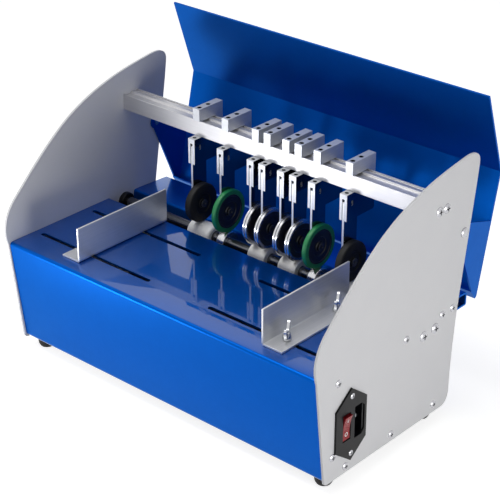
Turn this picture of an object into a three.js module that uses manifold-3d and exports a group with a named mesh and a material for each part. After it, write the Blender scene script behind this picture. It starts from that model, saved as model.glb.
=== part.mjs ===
// Desk creasing machine: eight pressure wheels on a clamp bar over one driven shaft.
// Millimetres, +Z up, X along the shaft, the feed side at low Y.
import * as THREE from 'three';
import { mergeVertices } from 'three/addons/utils/BufferGeometryUtils.js';
import Module from 'manifold-3d';

const wasm = await Module();
wasm.setup();

// Clearances and overruns
const GAP = 0.3;              // between two pieces that rest on each other
const RUN = 0.5;              // between a turning piece and what it turns beside
const OVERRUN = 2;            // how far a cutting solid runs past the wall it cuts

// Frame
const WIDTH = 400;            // over the two side panels
const PANEL_THICKNESS = 2.5;
const PANEL_DEPTH = 232;
const PANEL_ABOVE_TABLE = 143.5;
const PANEL_FRONT_LEAN = 16.5;  // how far the foot of the front edge stands back from its top
const PANEL_REAR_LEAN = 29;   // how far the foot of the rear edge stands forward of its top
const PANEL_CORNER = 3;       // corner radius at the foot, in front
const PANEL_HEEL = 12;        // and at the rear
const FOOT_HEIGHT = 11;
const FOOT_RADIUS = 9;
const FOOT_SOLE = 7.2;        // radius of the sole
const FOOT_FLANK = 8.6;       // radius a quarter of the way up
const FOOT_INSET = 15;        // from the outer face of a panel
const FOOT_FRONT = 33;        // from the front of the panels
const FOOT_REAR = 52;         // from their rear

// Sheet metal of the covers
const SHEET = 2;
const BEND = 2.4;             // bend radius on the middle of the sheet
const TABLE_HEIGHT = 114.5;   // top face of the feed table
const TABLE_TO_SHAFT = 21;  // from the table's rear edge to the middle of the shaft
const TABLE_LIP = 12;
const COVER_INSET = 1;        // front cover behind the panels' front edge
const DECK_BEHIND_SHAFT = 13.5; // run-out deck behind the rollers
const DECK_BELOW_NIP = 4;
const DECK_INSET = 4;         // from the rear of the panels
const DECK_LIP = 15;
const DECK_RETURN = 24;
const BASE_HEIGHT = 2.3;      // top face of the base plate
const BASE_FLANGE = 14;
const BASE_MARGIN = 4;

// Table slots and side guides
const SLOT_WIDTH = 5;
const SLOT_FRONT_Y = 38;
const SLOT_REAR_INSET = 34;   // from the table's rear edge
const SLOT_OUTER = 12;        // from a panel's outer face to the slot's outer end
const slotInnerShares = [0.41, 0.6]; // of the width
const GUIDE_LEFT_INSET = 88;  // web of the left guide from the left panel's outer face
const GUIDE_RIGHT_INSET = 77.5;
const GUIDE_FOOT = 24;
const GUIDE_HEIGHT = 36.8;
const GUIDE_FRONT = 18;
const GUIDE_REAR_INSET = 2.5;   // from the table's rear edge
const GUIDE_BEND = 2;
const WING_SCREW_RADIUS = 2;
const WING_HUB_RADIUS = 4.2;
const WING_HUB_TOP_RADIUS = 2.9;
const WING_HUB_HEIGHT = 7;
const WING_SPAN = 22;
const WING_HEIGHT = 15;
const WING_FOOT = 2.1;        // lower edge of the wings above the hub's seat
const WING_NOTCH = 1.3;       // half the gap between the wings, on top of the hub
const WING_THICKNESS = 2;
const WING_TURN_DEGREES = -68; // how far the wings are turned from the X axis at rest
const WING_NUT_RADIUS = 4.5;
const WING_NUT_HEIGHT = 3.5;

// Driven shaft, its rollers and its drive
const SHAFT_TO_REAR = 68.5;   // from the middle of the shaft to the rear of the panels
const NIP_ABOVE_TABLE = 1.5;
const SHAFT_RADIUS = 6;
const JOURNAL_RADIUS = 5;
const BEARING_RADIUS = 9.5;
const BEARING_LENGTH = 5;
const BEARING_FLOOR = 2;
const ROLLER_RADIUS = 12;
const ROLLER_ROUND = 1;
const FEED_ROLLER_ROUND = 3;
const FEED_ROLLER_WIDTH = 30;
const NARROW_COLLAR_WIDTH = 9.5;
const WIDE_COLLAR_WIDTH = 22;
const COLLAR_GAP = 11.1;       // between the left feed roller and its collar
const GEAR_MODULE = 1;
const DRIVEN_TEETH = 20;
const PINION_TEETH = 14;
const GEAR_WIDTH = 7;
const GEAR_SLACK = 0.2;       // added to the distance between the gear centres
const GEAR_INSET = 24;        // left face of the gears from the right panel's outer face
const MOTOR_SHAFT_RADIUS = 4;
const GEARBOX_RADIUS = 29;
const GEARBOX_LENGTH = 24;
const GEARBOX_OFFSET = 21;    // of its output shaft above its middle
const MOTOR_RADIUS = 21;
const MOTOR_LENGTH = 84;
const MOTOR_FOOT_WIDTH = 40;
const MOTOR_FOOT_LENGTH = 60;

// Clamp bar
const BAR_BEHIND_SHAFT = 3; // front of the bar from the middle of the shaft
const BAR_ABOVE_TABLE = 92.7;
const BAR_DEPTH = 22;
const BAR_HEIGHT = 16.5;
const BAR_GROOVE = 1.6;       // depth of the long grooves in its top
const BAR_LIP = 2;            // width of the lips beside the grooves
const BAR_RIB = 6;

// Carriers, the blocks that grip the bar
const CARRIER_WIDTH = 8.6;
const CARRIER_ARM_FRONT = 2.5;  // top arm in front of the bar
const CARRIER_ARM_HEIGHT = 13;
const CARRIER_BACK = 9.5;       // thickness of the leg behind the bar
const FORK_FRONT = 10;        // fork in front of the bar
const FORK_HEIGHT = 27;
const FORK_BOTTOM_ROUND = 1.5;
const SLOT_CHEEK = 2.85;        // wall on each side of the arm's slot
const SLOT_HEIGHT = 22;
const SLOT_DEPTH = 22;
const SET_SCREW_RADIUS = 1.8;
const SET_SCREW_DEPTH = 6;
const SET_SCREW_FRONT = 5;      // first hole behind the front of the top arm
const SET_SCREW_PITCH = 12.5;
const PIN_SLOT_RADIUS = 1.3;

// Arms, the plates that carry the wheels
const ARM_TRAVEL = 3;
const ARM_DEPTH = 20;
const ARM_SIDE_GAP = 0.25;
const ARM_PIN_RADIUS = 1;
const ARM_PIN_BEHIND_SCREW = 2.8; // pin behind the spring screw
const ARM_PIN_BELOW_FORK_TOP = 8.5;
const ARM_NOSE = 7;             // radius of the arm's end round the axle
const armNoseTurnShare = 0.875; // of a full turn, where the nose runs into the rear edge
const AXLE_RADIUS = 2.5;
const AXLE_HEAD_RADIUS = 4;
const AXLE_HEAD = 1.2;

// Pressure wheels
const WHEEL_GAP = 0.4;          // above the rollers, and beside the arm
const GREEN_RADIUS = 22.8;
const GREEN_HUB_RADIUS = 17.6;
const STEEL_RADIUS = 20.6;
const RUBBER_RADIUS = 20.6;
const THIN_WHEEL = 5.2;
const RUBBER_WHEEL = 7.6;
const WHEEL_RECESS = 1.2;
const RECESS_RADIUS = 9.5;
const CREASE_RIDGE = 1;         // height of the ridge that presses the crease
const CREASE_RIDGE_WIDTH = 1.2;

// Lid, drawn open. Its places are counted from the pivot, backwards and upwards.
const LID_PIVOT_INSET = 20;   // from the rear of the panels
const LID_PIVOT_ABOVE_TABLE = 65;
const LID_LIP = 11;
const LID_FOOT_BEHIND = 35;
const LID_FOOT_BELOW = 71.5;
const LID_FOLD_BEHIND = 60.3;
const LID_FOLD_ABOVE = 40.4;
const LID_TOP_BEHIND = 32.2;
const LID_TOP_ABOVE = 123.6;
const LID_EAR = 2;
const LID_BOSS_RADIUS = 8;
const LID_WEB_SHOULDER = 8;     // where the ear's upper edge meets the sheet
const PIVOT_RADIUS = 3;
const PIVOT_HEAD_RADIUS = 5;
const PIVOT_HEAD = 2;

// Power inlet and switch on the right panel
const INLET_Y = 49;
const INLET_Z = 50.5;
const INLET_WIDTH = 43;
const INLET_SIDE = 43;          // height of the plate's upright sides
const INLET_TALL = 76;          // tip to tip of the plate
const INLET_PLATE = 2;
const INLET_BODY_WIDTH = 40;
const INLET_BODY_HEIGHT = 40;
const INLET_BODY_DEPTH = 20;
const SOCKET_WIDTH = 14;
const SOCKET_HEIGHT = 33;
const SOCKET_DEPTH = 15;
const SOCKET_CHAMFER = 4;
const SOCKET_OFFSET = 11.5;
const BLADE_LENGTH = 8.5;
const BLADE_WIDTH = 4;
const BLADE_THICKNESS = 2;
const BLADE_PITCH = 17;
const BLADE_STEP = 3.4;         // middle blade off the line of the other two
const ROCKER_WIDTH = 12;
const ROCKER_HEIGHT = 26;
const ROCKER_FOOT_HEIGHT = 23.4;
const ROCKER_OFFSET = 6.5;
const ROCKER_DEPTH = 7;
const ROCKER_PROUD = 2.6;
const ROCKER_TILT_DEGREES = 7;
const ROCKER_CLEARANCE = 1;

// Facets
const ROUND_STEPS = 24;
const SMALL_STEPS = 8;
const NUT_STEPS = 6;
const CURVE_STEPS = 10;
const BEND_STEPS = 4;

// Sizes that follow from the ones above
const INSIDE_LEFT = PANEL_THICKNESS + GAP;
const INSIDE_RIGHT = WIDTH - PANEL_THICKNESS - GAP;
const PANEL_HEIGHT = TABLE_HEIGHT + PANEL_ABOVE_TABLE;
const SHAFT_Y = PANEL_DEPTH - SHAFT_TO_REAR;
const NIP_HEIGHT = TABLE_HEIGHT + NIP_ABOVE_TABLE;
const SHAFT_Z = NIP_HEIGHT - ROLLER_RADIUS;
const TABLE_REAR = SHAFT_Y - TABLE_TO_SHAFT;
const SLOT_REAR_Y = TABLE_REAR - SLOT_REAR_INSET;
const DECK_FRONT = SHAFT_Y + DECK_BEHIND_SHAFT;
const DECK_REAR = PANEL_DEPTH - DECK_INSET;
const DECK_HEIGHT = NIP_HEIGHT - DECK_BELOW_NIP;
const GUIDE_REAR = TABLE_REAR - GUIDE_REAR_INSET;
const BAR_FRONT = SHAFT_Y + BAR_BEHIND_SHAFT;
const BAR_REAR = BAR_FRONT + BAR_DEPTH;
const BAR_BOTTOM = TABLE_HEIGHT + BAR_ABOVE_TABLE;
const BAR_TOP = BAR_BOTTOM + BAR_HEIGHT;
const FORK_TOP = BAR_BOTTOM - GAP;
const FORK_BOTTOM = FORK_TOP - FORK_HEIGHT;
const FORK_FACE = BAR_FRONT - FORK_FRONT;
const CARRIER_REAR = BAR_REAR + GAP + CARRIER_BACK;
const ARM_THICKNESS = CARRIER_WIDTH - 2 * SLOT_CHEEK - 2 * ARM_SIDE_GAP;
const ARM_TOP = FORK_BOTTOM + SLOT_HEIGHT - ARM_TRAVEL - GAP;
const LID_PIVOT_Y = PANEL_DEPTH - LID_PIVOT_INSET;
const LID_PIVOT_Z = TABLE_HEIGHT + LID_PIVOT_ABOVE_TABLE;
const LID_FOOT_Y = LID_PIVOT_Y + LID_FOOT_BEHIND;
const LID_FOOT_Z = LID_PIVOT_Z - LID_FOOT_BELOW;
const GEAR_PLACE = WIDTH - GEAR_INSET;
const WHEEL_RADII = { green: GREEN_RADIUS, steel: STEEL_RADIUS, rubber: RUBBER_RADIUS };
const WHEEL_WIDTHS = { green: THIN_WHEEL, steel: THIN_WHEEL, rubber: RUBBER_WHEEL };

// Rollers and collars along the shaft. The shares are of the width.
const rollerPlaceShares = {
  feedLeft: 0.258, wideLeft: 0.46525, wideRight: 0.56375, narrowRight: 0.6575, feedRight: 0.7425,
};
const FEED_LEFT = { x: rollerPlaceShares.feedLeft * WIDTH, width: FEED_ROLLER_WIDTH };
const NARROW_LEFT = { x: FEED_LEFT.x + FEED_ROLLER_WIDTH + COLLAR_GAP, width: NARROW_COLLAR_WIDTH };
const WIDE_LEFT = { x: rollerPlaceShares.wideLeft * WIDTH, width: WIDE_COLLAR_WIDTH };
const WIDE_RIGHT = { x: rollerPlaceShares.wideRight * WIDTH, width: WIDE_COLLAR_WIDTH };
const NARROW_RIGHT = { x: rollerPlaceShares.narrowRight * WIDTH, width: NARROW_COLLAR_WIDTH };
const FEED_RIGHT = { x: rollerPlaceShares.feedRight * WIDTH, width: FEED_ROLLER_WIDTH };

// The eight carriers: the roller that each wheel runs on and the wheel that it holds, and
// how far along that roller each one stands, as a share of the roller's width
const STATIONS = [
  { on: FEED_LEFT, kind: 'rubber' },
  { on: NARROW_LEFT, kind: 'green' },
  { on: WIDE_LEFT, kind: 'steel' },
  { on: WIDE_LEFT, kind: 'steel' },
  { on: WIDE_RIGHT, kind: 'steel' },
  { on: WIDE_RIGHT, kind: 'steel' },
  { on: NARROW_RIGHT, kind: 'green' },
  { on: FEED_RIGHT, kind: 'rubber' },
];
const stationShares = [0.17, 0.274, 0.009, 0.6955, -0.023, 0.673, 0.053, 0.163];

// Finishes
const paint = (color, roughness = 0.35, metalness = 0) =>
  () => new THREE.MeshStandardMaterial({ color, roughness, metalness });
const finish = {
  panel: paint(0xc9c8c6, 0.55),
  blue: paint(0x0b4bb0, 0.3),
  aluminium: paint(0xd5d8dc, 0.4, 0.9),
  steel: paint(0xb9bcc0, 0.3, 1),
  darkSteel: paint(0x3a3d42, 0.45, 0.8),
  chrome: paint(0xdfe1e4, 0.15, 1),
  rubber: paint(0x101112, 0.8),
  green: paint(0x1c8a4a, 0.5),
  hub: paint(0x2b2c2e, 0.6),
  white: paint(0xe6e6e2, 0.5),
  red: paint(0xc01a1a, 0.4),
  black: paint(0x151515, 0.5),
};

// A closed solid from a three.js geometry, with its faces turned outwards
function solidOf(geometry) {
  const plain = new THREE.BufferGeometry();
  plain.setAttribute('position', geometry.getAttribute('position').clone());
  if (geometry.index) {
    plain.setIndex(geometry.index.clone());
  }
  const merged = mergeVertices(plain, 1e-4);
  const vertProperties = new Float32Array(merged.getAttribute('position').array);
  const triVerts = new Uint32Array(merged.index.array);
  if (signedVolume(vertProperties, triVerts) < 0) {
    for (let i = 0; i < triVerts.length; i += 3) {
      [triVerts[i], triVerts[i + 1]] = [triVerts[i + 1], triVerts[i]];
    }
  }
  return new wasm.Manifold(new wasm.Mesh({ numProp: 3, vertProperties, triVerts }));
}

function signedVolume(vertices, triangles) {
  const [a, b, c] = [new THREE.Vector3(), new THREE.Vector3(), new THREE.Vector3()];
  let volume = 0;
  for (let i = 0; i < triangles.length; i += 3) {
    a.fromArray(vertices, 3 * triangles[i]);
    b.fromArray(vertices, 3 * triangles[i + 1]);
    c.fromArray(vertices, 3 * triangles[i + 2]);
    volume += a.dot(b.cross(c)) / 6;
  }
  return volume;
}

function geometryOf(solid) {
  const mesh = solid.getMesh();
  const geometry = new THREE.BufferGeometry();
  const positions = new Float32Array(mesh.vertProperties);
  geometry.setAttribute('position', new THREE.BufferAttribute(positions, 3));
  geometry.setIndex(new THREE.BufferAttribute(new Uint32Array(mesh.triVerts), 1));
  geometry.computeVertexNormals();
  return geometry;
}

const join = (first, ...others) => others.reduce((sum, other) => sum.add(other), first);
const cut = (first, ...others) => others.reduce((rest, other) => rest.subtract(other), first);

// Extrusions of a closed outline along each axis, from low to high
function extruded(outline, depth) {
  return new THREE.ExtrudeGeometry(outline, { depth, bevelEnabled: false, curveSegments: CURVE_STEPS });
}

function alongX(outline, from, to) {
  const geometry = extruded(outline, to - from);
  const axes = new THREE.Matrix4().makeBasis(
    new THREE.Vector3(0, 1, 0), new THREE.Vector3(0, 0, 1), new THREE.Vector3(1, 0, 0));
  return solidOf(geometry.applyMatrix4(axes).translate(from, 0, 0));
}

function alongY(outline, from, to) {
  const geometry = extruded(outline, to - from);
  return solidOf(geometry.rotateX(Math.PI / 2).translate(0, to, 0));
}

function alongZ(outline, from, to) {
  const geometry = extruded(outline, to - from);
  return solidOf(geometry.translate(0, 0, from));
}

function block(x0, x1, y0, y1, z0, z1) {
  const geometry = new THREE.BoxGeometry(x1 - x0, y1 - y0, z1 - z0);
  return solidOf(geometry.translate((x0 + x1) / 2, (y0 + y1) / 2, (z0 + z1) / 2));
}

// A solid of revolution. The profile holds [distance along the axis, radius] pairs.
function turned(profile, steps = ROUND_STEPS) {
  const points = profile.map(([along, radius]) => new THREE.Vector2(radius, along));
  return new THREE.LatheGeometry(points, steps);
}

const turnedX = (profile, x, y, z, steps) =>
  solidOf(turned(profile, steps).rotateZ(-Math.PI / 2).translate(x, y, z));

const turnedZ = (profile, x, y, z, steps) =>
  solidOf(turned(profile, steps).rotateX(Math.PI / 2).translate(x, y, z));

const rod = (length, radius) => [[0, 0], [0, radius], [length, radius], [length, 0]];

const ring = (length, inner, outer) =>
  [[0, inner], [0, outer], [length, outer], [length, inner], [0, inner]];

const rodX = (x0, x1, radius, y, z, steps) => turnedX(rod(x1 - x0, radius), x0, y, z, steps);
const rodZ = (z0, z1, radius, x, y, steps) => turnedZ(rod(z1 - z0, radius), x, y, z0, steps);

function outlineOf(points) {
  return new THREE.Shape(points.map(([u, v]) => new THREE.Vector2(u, v)));
}

// A sheet of even thickness along a bent line, as a closed outline
function bentSheet(line, thickness, radius) {
  const spots = [];
  const directions = line.slice(1).map(([u, v], i) => {
    const run = new THREE.Vector2(u - line[i][0], v - line[i][1]);
    return run.normalize();
  });
  const normalOf = (d) => new THREE.Vector2(-d.y, d.x);
  spots.push({ at: new THREE.Vector2(...line[0]), normal: normalOf(directions[0]) });
  for (let i = 1; i < line.length - 1; i += 1) {
    const before = directions[i - 1];
    const after = directions[i];
    const turn = Math.atan2(before.cross(after), before.dot(after));
    const reach = radius * Math.tan(Math.abs(turn) / 2);
    const start = new THREE.Vector2(...line[i]).addScaledVector(before, -reach);
    const side = Math.sign(turn);
    const centre = start.clone().addScaledVector(normalOf(before), side * radius);
    for (let k = 0; k <= BEND_STEPS; k += 1) {
      const normal = normalOf(before).rotateAround(new THREE.Vector2(), turn * k / BEND_STEPS);
      spots.push({ at: centre.clone().addScaledVector(normal, -side * radius), normal });
    }
  }
  const last = line.length - 1;
  spots.push({ at: new THREE.Vector2(...line[last]), normal: normalOf(directions[last - 1]) });
  const left = spots.map(({ at, normal }) => at.clone().addScaledVector(normal, thickness / 2));
  const right = spots.map(({ at, normal }) => at.clone().addScaledVector(normal, -thickness / 2));
  return new THREE.Shape([...left, ...right.reverse()]);
}

// A slot with round ends, as an outline in the plane of the table
function roundSlot(x0, x1, y, width) {
  const radius = width / 2;
  const shape = new THREE.Shape();
  shape.moveTo(x0 + radius, y - radius);
  shape.lineTo(x1 - radius, y - radius);
  shape.absarc(x1 - radius, y, radius, -Math.PI / 2, Math.PI / 2, false);
  shape.lineTo(x0 + radius, y + radius);
  shape.absarc(x0 + radius, y, radius, Math.PI / 2, 3 * Math.PI / 2, false);
  return shape;
}

// Machine group, and the one way a piece gets into it
const machine = new THREE.Group();

function place(name, solid, material, parent = machine) {
  const mesh = new THREE.Mesh(geometryOf(solid), material());
  mesh.name = name;
  parent.add(mesh);
  return mesh;
}

// Side panels. Shares are of the panel's depth and height, one row for each curve of the
// top edge: two control points and the end.
const panelCurveShares = [
  [-0.018, 0.500, 0.008, 0.560, 0.050, 0.603],
  [0.110, 0.655, 0.215, 0.748, 0.319, 0.816],
  [0.425, 0.888, 0.540, 0.928, 0.668, 0.957],
  [0.750, 0.975, 0.830, 0.984, 0.900, 0.993],
  [0.955, 1.000, 1.000, 0.990, 0.996, 0.945],
];
const panelRearShares = [0.965, 0.700, 0.876, 0.380];

function panelOutline() {
  const shape = new THREE.Shape();
  const rearFoot = PANEL_DEPTH - PANEL_REAR_LEAN;
  shape.moveTo(PANEL_FRONT_LEAN + PANEL_CORNER, 0);
  shape.quadraticCurveTo(PANEL_FRONT_LEAN, 0, PANEL_FRONT_LEAN - SHEET, PANEL_CORNER);
  shape.lineTo(SHEET, TABLE_HEIGHT - SHEET);
  const scaled = (shares) => shares.map((share, i) => share * (i % 2 ? PANEL_HEIGHT : PANEL_DEPTH));
  for (const curve of panelCurveShares) {
    shape.bezierCurveTo(...scaled(curve));
  }
  shape.bezierCurveTo(...scaled(panelRearShares), rearFoot, PANEL_HEEL);
  shape.quadraticCurveTo(rearFoot - SHEET, 0, rearFoot - PANEL_HEEL, 0);
  return shape;
}

function sidePanel(x0) {
  const pivotHole = rodX(
    x0 - OVERRUN, x0 + PANEL_THICKNESS + OVERRUN, PIVOT_RADIUS + GAP, LID_PIVOT_Y, LID_PIVOT_Z, SMALL_STEPS);
  return cut(alongX(panelOutline(), x0, x0 + PANEL_THICKNESS), pivotHole);
}

function addPanels() {
  place('side_panel_left', sidePanel(0), finish.panel);
  const inletHole = block(
    WIDTH - PANEL_THICKNESS - OVERRUN, WIDTH + OVERRUN,
    INLET_Y - INLET_BODY_WIDTH / 2 - GAP, INLET_Y + INLET_BODY_WIDTH / 2 + GAP,
    INLET_Z - INLET_BODY_HEIGHT / 2 - GAP, INLET_Z + INLET_BODY_HEIGHT / 2 + GAP);
  place('side_panel_right', cut(sidePanel(WIDTH - PANEL_THICKNESS), inletHole), finish.panel);
}

// Feed table, run-out deck, rear cover and base plate, all bent from sheet
function addCovers() {
  const half = SHEET / 2;
  const table = alongX(bentSheet([
    [PANEL_FRONT_LEAN + COVER_INSET + TABLE_LIP, BASE_HEIGHT + GAP + half],
    [PANEL_FRONT_LEAN + COVER_INSET, BASE_HEIGHT + GAP + half],
    [SHEET + COVER_INSET + half, TABLE_HEIGHT - half],
    [TABLE_REAR - half, TABLE_HEIGHT - half],
    [TABLE_REAR - half, TABLE_HEIGHT - TABLE_LIP],
  ], SHEET, BEND), INSIDE_LEFT, INSIDE_RIGHT);
  const slots = [];
  const [leftEnd, rightEnd] = slotInnerShares.map((share) => share * WIDTH);
  for (const y of [SLOT_FRONT_Y, SLOT_REAR_Y]) {
    for (const [x0, x1] of [[SLOT_OUTER, leftEnd], [rightEnd, WIDTH - SLOT_OUTER]]) {
      const slot = roundSlot(x0, x1, y, SLOT_WIDTH);
      slots.push(alongZ(slot, TABLE_HEIGHT - SHEET - OVERRUN, TABLE_HEIGHT + OVERRUN));
    }
  }
  place('table_cover', cut(table, ...slots), finish.blue);

  const deck = bentSheet([
    [DECK_FRONT, DECK_HEIGHT - TABLE_LIP],
    [DECK_FRONT + half, DECK_HEIGHT - half],
    [DECK_REAR - half, DECK_HEIGHT - half - SHEET],
    [DECK_REAR - half, DECK_HEIGHT - DECK_LIP],
    [DECK_REAR - DECK_RETURN, DECK_HEIGHT - DECK_LIP],
  ], SHEET, BEND / 2);
  place('rear_deck', alongX(deck, INSIDE_LEFT, INSIDE_RIGHT), finish.blue);

  const rearTop = DECK_HEIGHT - DECK_LIP - SHEET - GAP;
  const rearFoot = PANEL_DEPTH - PANEL_REAR_LEAN - PANEL_HEEL / 2;
  const rear = bentSheet([
    [DECK_REAR - DECK_RETURN - TABLE_LIP, rearTop],
    [DECK_REAR - DECK_RETURN, rearTop],
    [rearFoot, BASE_HEIGHT + GAP + half],
    [rearFoot - TABLE_LIP, BASE_HEIGHT + GAP + half],
  ], SHEET, BEND / 2);
  place('rear_cover', alongX(rear, INSIDE_LEFT, INSIDE_RIGHT), finish.blue);

  const base = bentSheet([
    [INSIDE_LEFT + half, BASE_HEIGHT + BASE_FLANGE],
    [INSIDE_LEFT + half, BASE_HEIGHT - half],
    [INSIDE_RIGHT - half, BASE_HEIGHT - half],
    [INSIDE_RIGHT - half, BASE_HEIGHT + BASE_FLANGE],
  ], SHEET, BEND / 2);
  const innerFront = PANEL_FRONT_LEAN + COVER_INSET + BASE_MARGIN;
  const innerRear = PANEL_DEPTH - PANEL_REAR_LEAN - BASE_MARGIN;
  const notch = BASE_FLANGE + OVERRUN;
  const notches = [];
  const flange = 2 * SHEET + BEND;
  for (const [x0, x1] of [[0, INSIDE_LEFT + flange], [INSIDE_RIGHT - flange, WIDTH]]) {
    for (const y of [innerFront - OVERRUN, innerRear - notch]) {
      notches.push(block(x0, x1, y, y + notch + OVERRUN, BASE_HEIGHT + GAP, BASE_HEIGHT + 2 * notch));
    }
  }
  place('base_plate', cut(alongY(base, innerFront, innerRear), ...notches), finish.darkSteel);
}

// Rubber feet under the base plate
function addFeet() {
  const profile = [
    [0, 0], [0, FOOT_SOLE], [FOOT_HEIGHT / 4, FOOT_FLANK], [FOOT_HEIGHT / 2, FOOT_RADIUS],
    [FOOT_HEIGHT, FOOT_RADIUS], [FOOT_HEIGHT, 0],
  ];
  const spots = {
    front_left: [FOOT_INSET, FOOT_FRONT],
    front_right: [WIDTH - FOOT_INSET, FOOT_FRONT],
    rear_left: [FOOT_INSET, PANEL_DEPTH - FOOT_REAR],
    rear_right: [WIDTH - FOOT_INSET, PANEL_DEPTH - FOOT_REAR],
  };
  for (const [corner, [x, y]] of Object.entries(spots)) {
    place(`foot_${corner}`, turnedZ(profile, x, y, -FOOT_HEIGHT, SMALL_STEPS * 2), finish.rubber);
  }
}

// Clamp bar, an extrusion with two long grooves and a rib between them in its top
function addBar() {
  const floor = BAR_TOP - BAR_GROOVE;
  const ribFront = BAR_FRONT + BAR_DEPTH / 2;
  const ribRear = ribFront + BAR_RIB;
  const profile = outlineOf([
    [BAR_FRONT, BAR_BOTTOM], [BAR_REAR, BAR_BOTTOM], [BAR_REAR, BAR_TOP],
    [BAR_REAR - BAR_LIP, BAR_TOP], [BAR_REAR - BAR_LIP, floor],
    [ribRear, floor], [ribRear, BAR_TOP], [ribFront + BAR_LIP / 2, BAR_TOP], [ribFront, floor],
    [BAR_FRONT + BAR_LIP, floor], [BAR_FRONT + BAR_LIP, BAR_TOP], [BAR_FRONT, BAR_TOP],
  ]);
  place('clamp_bar', alongX(profile, INSIDE_LEFT, INSIDE_RIGHT), finish.aluminium);
}

// Driven shaft with its rollers, collars and bearings
function rollerProfile(width, round) {
  const bore = SHAFT_RADIUS + GAP;
  const shoulder = ROLLER_RADIUS - round;
  return [
    [0, bore], [0, shoulder], [round / 3, ROLLER_RADIUS - round / 3], [round, ROLLER_RADIUS],
    [width - round, ROLLER_RADIUS], [width - round / 3, ROLLER_RADIUS - round / 3],
    [width, shoulder], [width, bore], [0, bore],
  ];
}

function addShaft() {
  const cup = [
    [0, 0], [0, BEARING_RADIUS], [BEARING_LENGTH, BEARING_RADIUS], [BEARING_LENGTH, JOURNAL_RADIUS + GAP],
    [BEARING_FLOOR, JOURNAL_RADIUS + GAP], [BEARING_FLOOR, 0],
  ];
  const mirrored = cup.map(([along, radius]) => [-along, radius]);
  place('shaft_bearing_left', turnedX(cup, INSIDE_LEFT, SHAFT_Y, SHAFT_Z), finish.black);
  place('shaft_bearing_right', turnedX(mirrored, INSIDE_RIGHT, SHAFT_Y, SHAFT_Z), finish.black);

  const start = INSIDE_LEFT + BEARING_FLOOR + RUN;
  const end = INSIDE_RIGHT - BEARING_FLOOR - RUN;
  const journal = BEARING_LENGTH - BEARING_FLOOR;
  const shaft = [
    [start, 0], [start, JOURNAL_RADIUS], [start + journal, JOURNAL_RADIUS], [start + journal, SHAFT_RADIUS],
    [end - journal, SHAFT_RADIUS], [end - journal, JOURNAL_RADIUS], [end, JOURNAL_RADIUS], [end, 0],
  ];
  place('drive_shaft', turnedX(shaft, 0, SHAFT_Y, SHAFT_Z), finish.steel);

  const onShaft = (name, { x, width }, round, material) =>
    place(name, turnedX(rollerProfile(width, round), x, SHAFT_Y, SHAFT_Z), material);
  onShaft('feed_roller_left', FEED_LEFT, FEED_ROLLER_ROUND, finish.white);
  onShaft('feed_roller_right', FEED_RIGHT, FEED_ROLLER_ROUND, finish.white);
  onShaft('narrow_collar_left', NARROW_LEFT, ROLLER_ROUND, finish.steel);
  onShaft('narrow_collar_right', NARROW_RIGHT, ROLLER_ROUND, finish.steel);
  onShaft('wide_collar_left', WIDE_LEFT, ROLLER_ROUND, finish.steel);
  onShaft('wide_collar_right', WIDE_RIGHT, ROLLER_ROUND, finish.steel);
}

// Straight-flanked spur gear. Half widths of a tooth are shares of its pitch angle, and
// the depths below and above the pitch circle are shares of the module.
const toothHalfShares = { root: 0.34, pitch: 0.215, tip: 0.1 };
const toothDepthShares = { root: -1.2, pitch: 0, tip: 0.95 };

function gearOutline(teeth, turn) {
  const pitch = 2 * Math.PI / teeth;
  const middle = GEAR_MODULE * teeth / 2;
  const points = [];
  for (let tooth = 0; tooth < teeth; tooth += 1) {
    const centre = turn + tooth * pitch;
    const flank = (level, side) => {
      const angle = centre + side * toothHalfShares[level] * pitch;
      const radius = middle + toothDepthShares[level] * GEAR_MODULE;
      points.push([radius * Math.cos(angle), radius * Math.sin(angle)]);
    };
    flank('root', -1);
    flank('pitch', -1);
    flank('tip', -1);
    flank('tip', 1);
    flank('pitch', 1);
    flank('root', 1);
  }
  return points;
}

function addDrive() {
  const centreDistance = GEAR_MODULE * (DRIVEN_TEETH + PINION_TEETH) / 2 + GEAR_SLACK;
  const pinionZ = SHAFT_Z - centreDistance;
  const gearEnd = GEAR_PLACE + GEAR_WIDTH;
  const gear = (teeth, turn, z) => {
    const points = gearOutline(teeth, turn).map(([u, v]) => [SHAFT_Y + u, z + v]);
    return alongX(outlineOf(points), GEAR_PLACE, gearEnd);
  };
  const halfTooth = Math.PI / DRIVEN_TEETH;
  const bore = rodX(GEAR_PLACE - OVERRUN, gearEnd + OVERRUN, SHAFT_RADIUS + GAP, SHAFT_Y, SHAFT_Z);
  place('driven_gear', cut(gear(DRIVEN_TEETH, -Math.PI / 2 + halfTooth, SHAFT_Z), bore), finish.steel);

  const gearboxEnd = GEAR_PLACE - OVERRUN;
  const gearboxStart = gearboxEnd - GEARBOX_LENGTH;
  const shaftStart = gearboxEnd - GEARBOX_LENGTH / 3;
  const outputShaft = rodX(shaftStart, gearEnd - GAP, MOTOR_SHAFT_RADIUS, SHAFT_Y, pinionZ, SMALL_STEPS * 2);
  place('motor_pinion', join(gear(PINION_TEETH, Math.PI / 2, pinionZ), outputShaft), finish.darkSteel);

  const middleZ = pinionZ - GEARBOX_OFFSET;
  const gearbox = rodX(gearboxStart, gearboxEnd, GEARBOX_RADIUS, SHAFT_Y, middleZ);
  const motor = rodX(gearboxStart - MOTOR_LENGTH, gearboxStart + OVERRUN, MOTOR_RADIUS, SHAFT_Y, middleZ);
  const foot = block(
    gearboxEnd - MOTOR_FOOT_LENGTH, gearboxEnd,
    SHAFT_Y - MOTOR_FOOT_WIDTH / 2, SHAFT_Y + MOTOR_FOOT_WIDTH / 2, BASE_HEIGHT + GAP, middleZ);
  const shaftBore = rodX(
    shaftStart - RUN, gearboxEnd + OVERRUN, MOTOR_SHAFT_RADIUS + RUN, SHAFT_Y, pinionZ, SMALL_STEPS * 2);
  place('gear_motor', cut(join(gearbox, motor, foot), shaftBore), finish.darkSteel);
}

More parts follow.
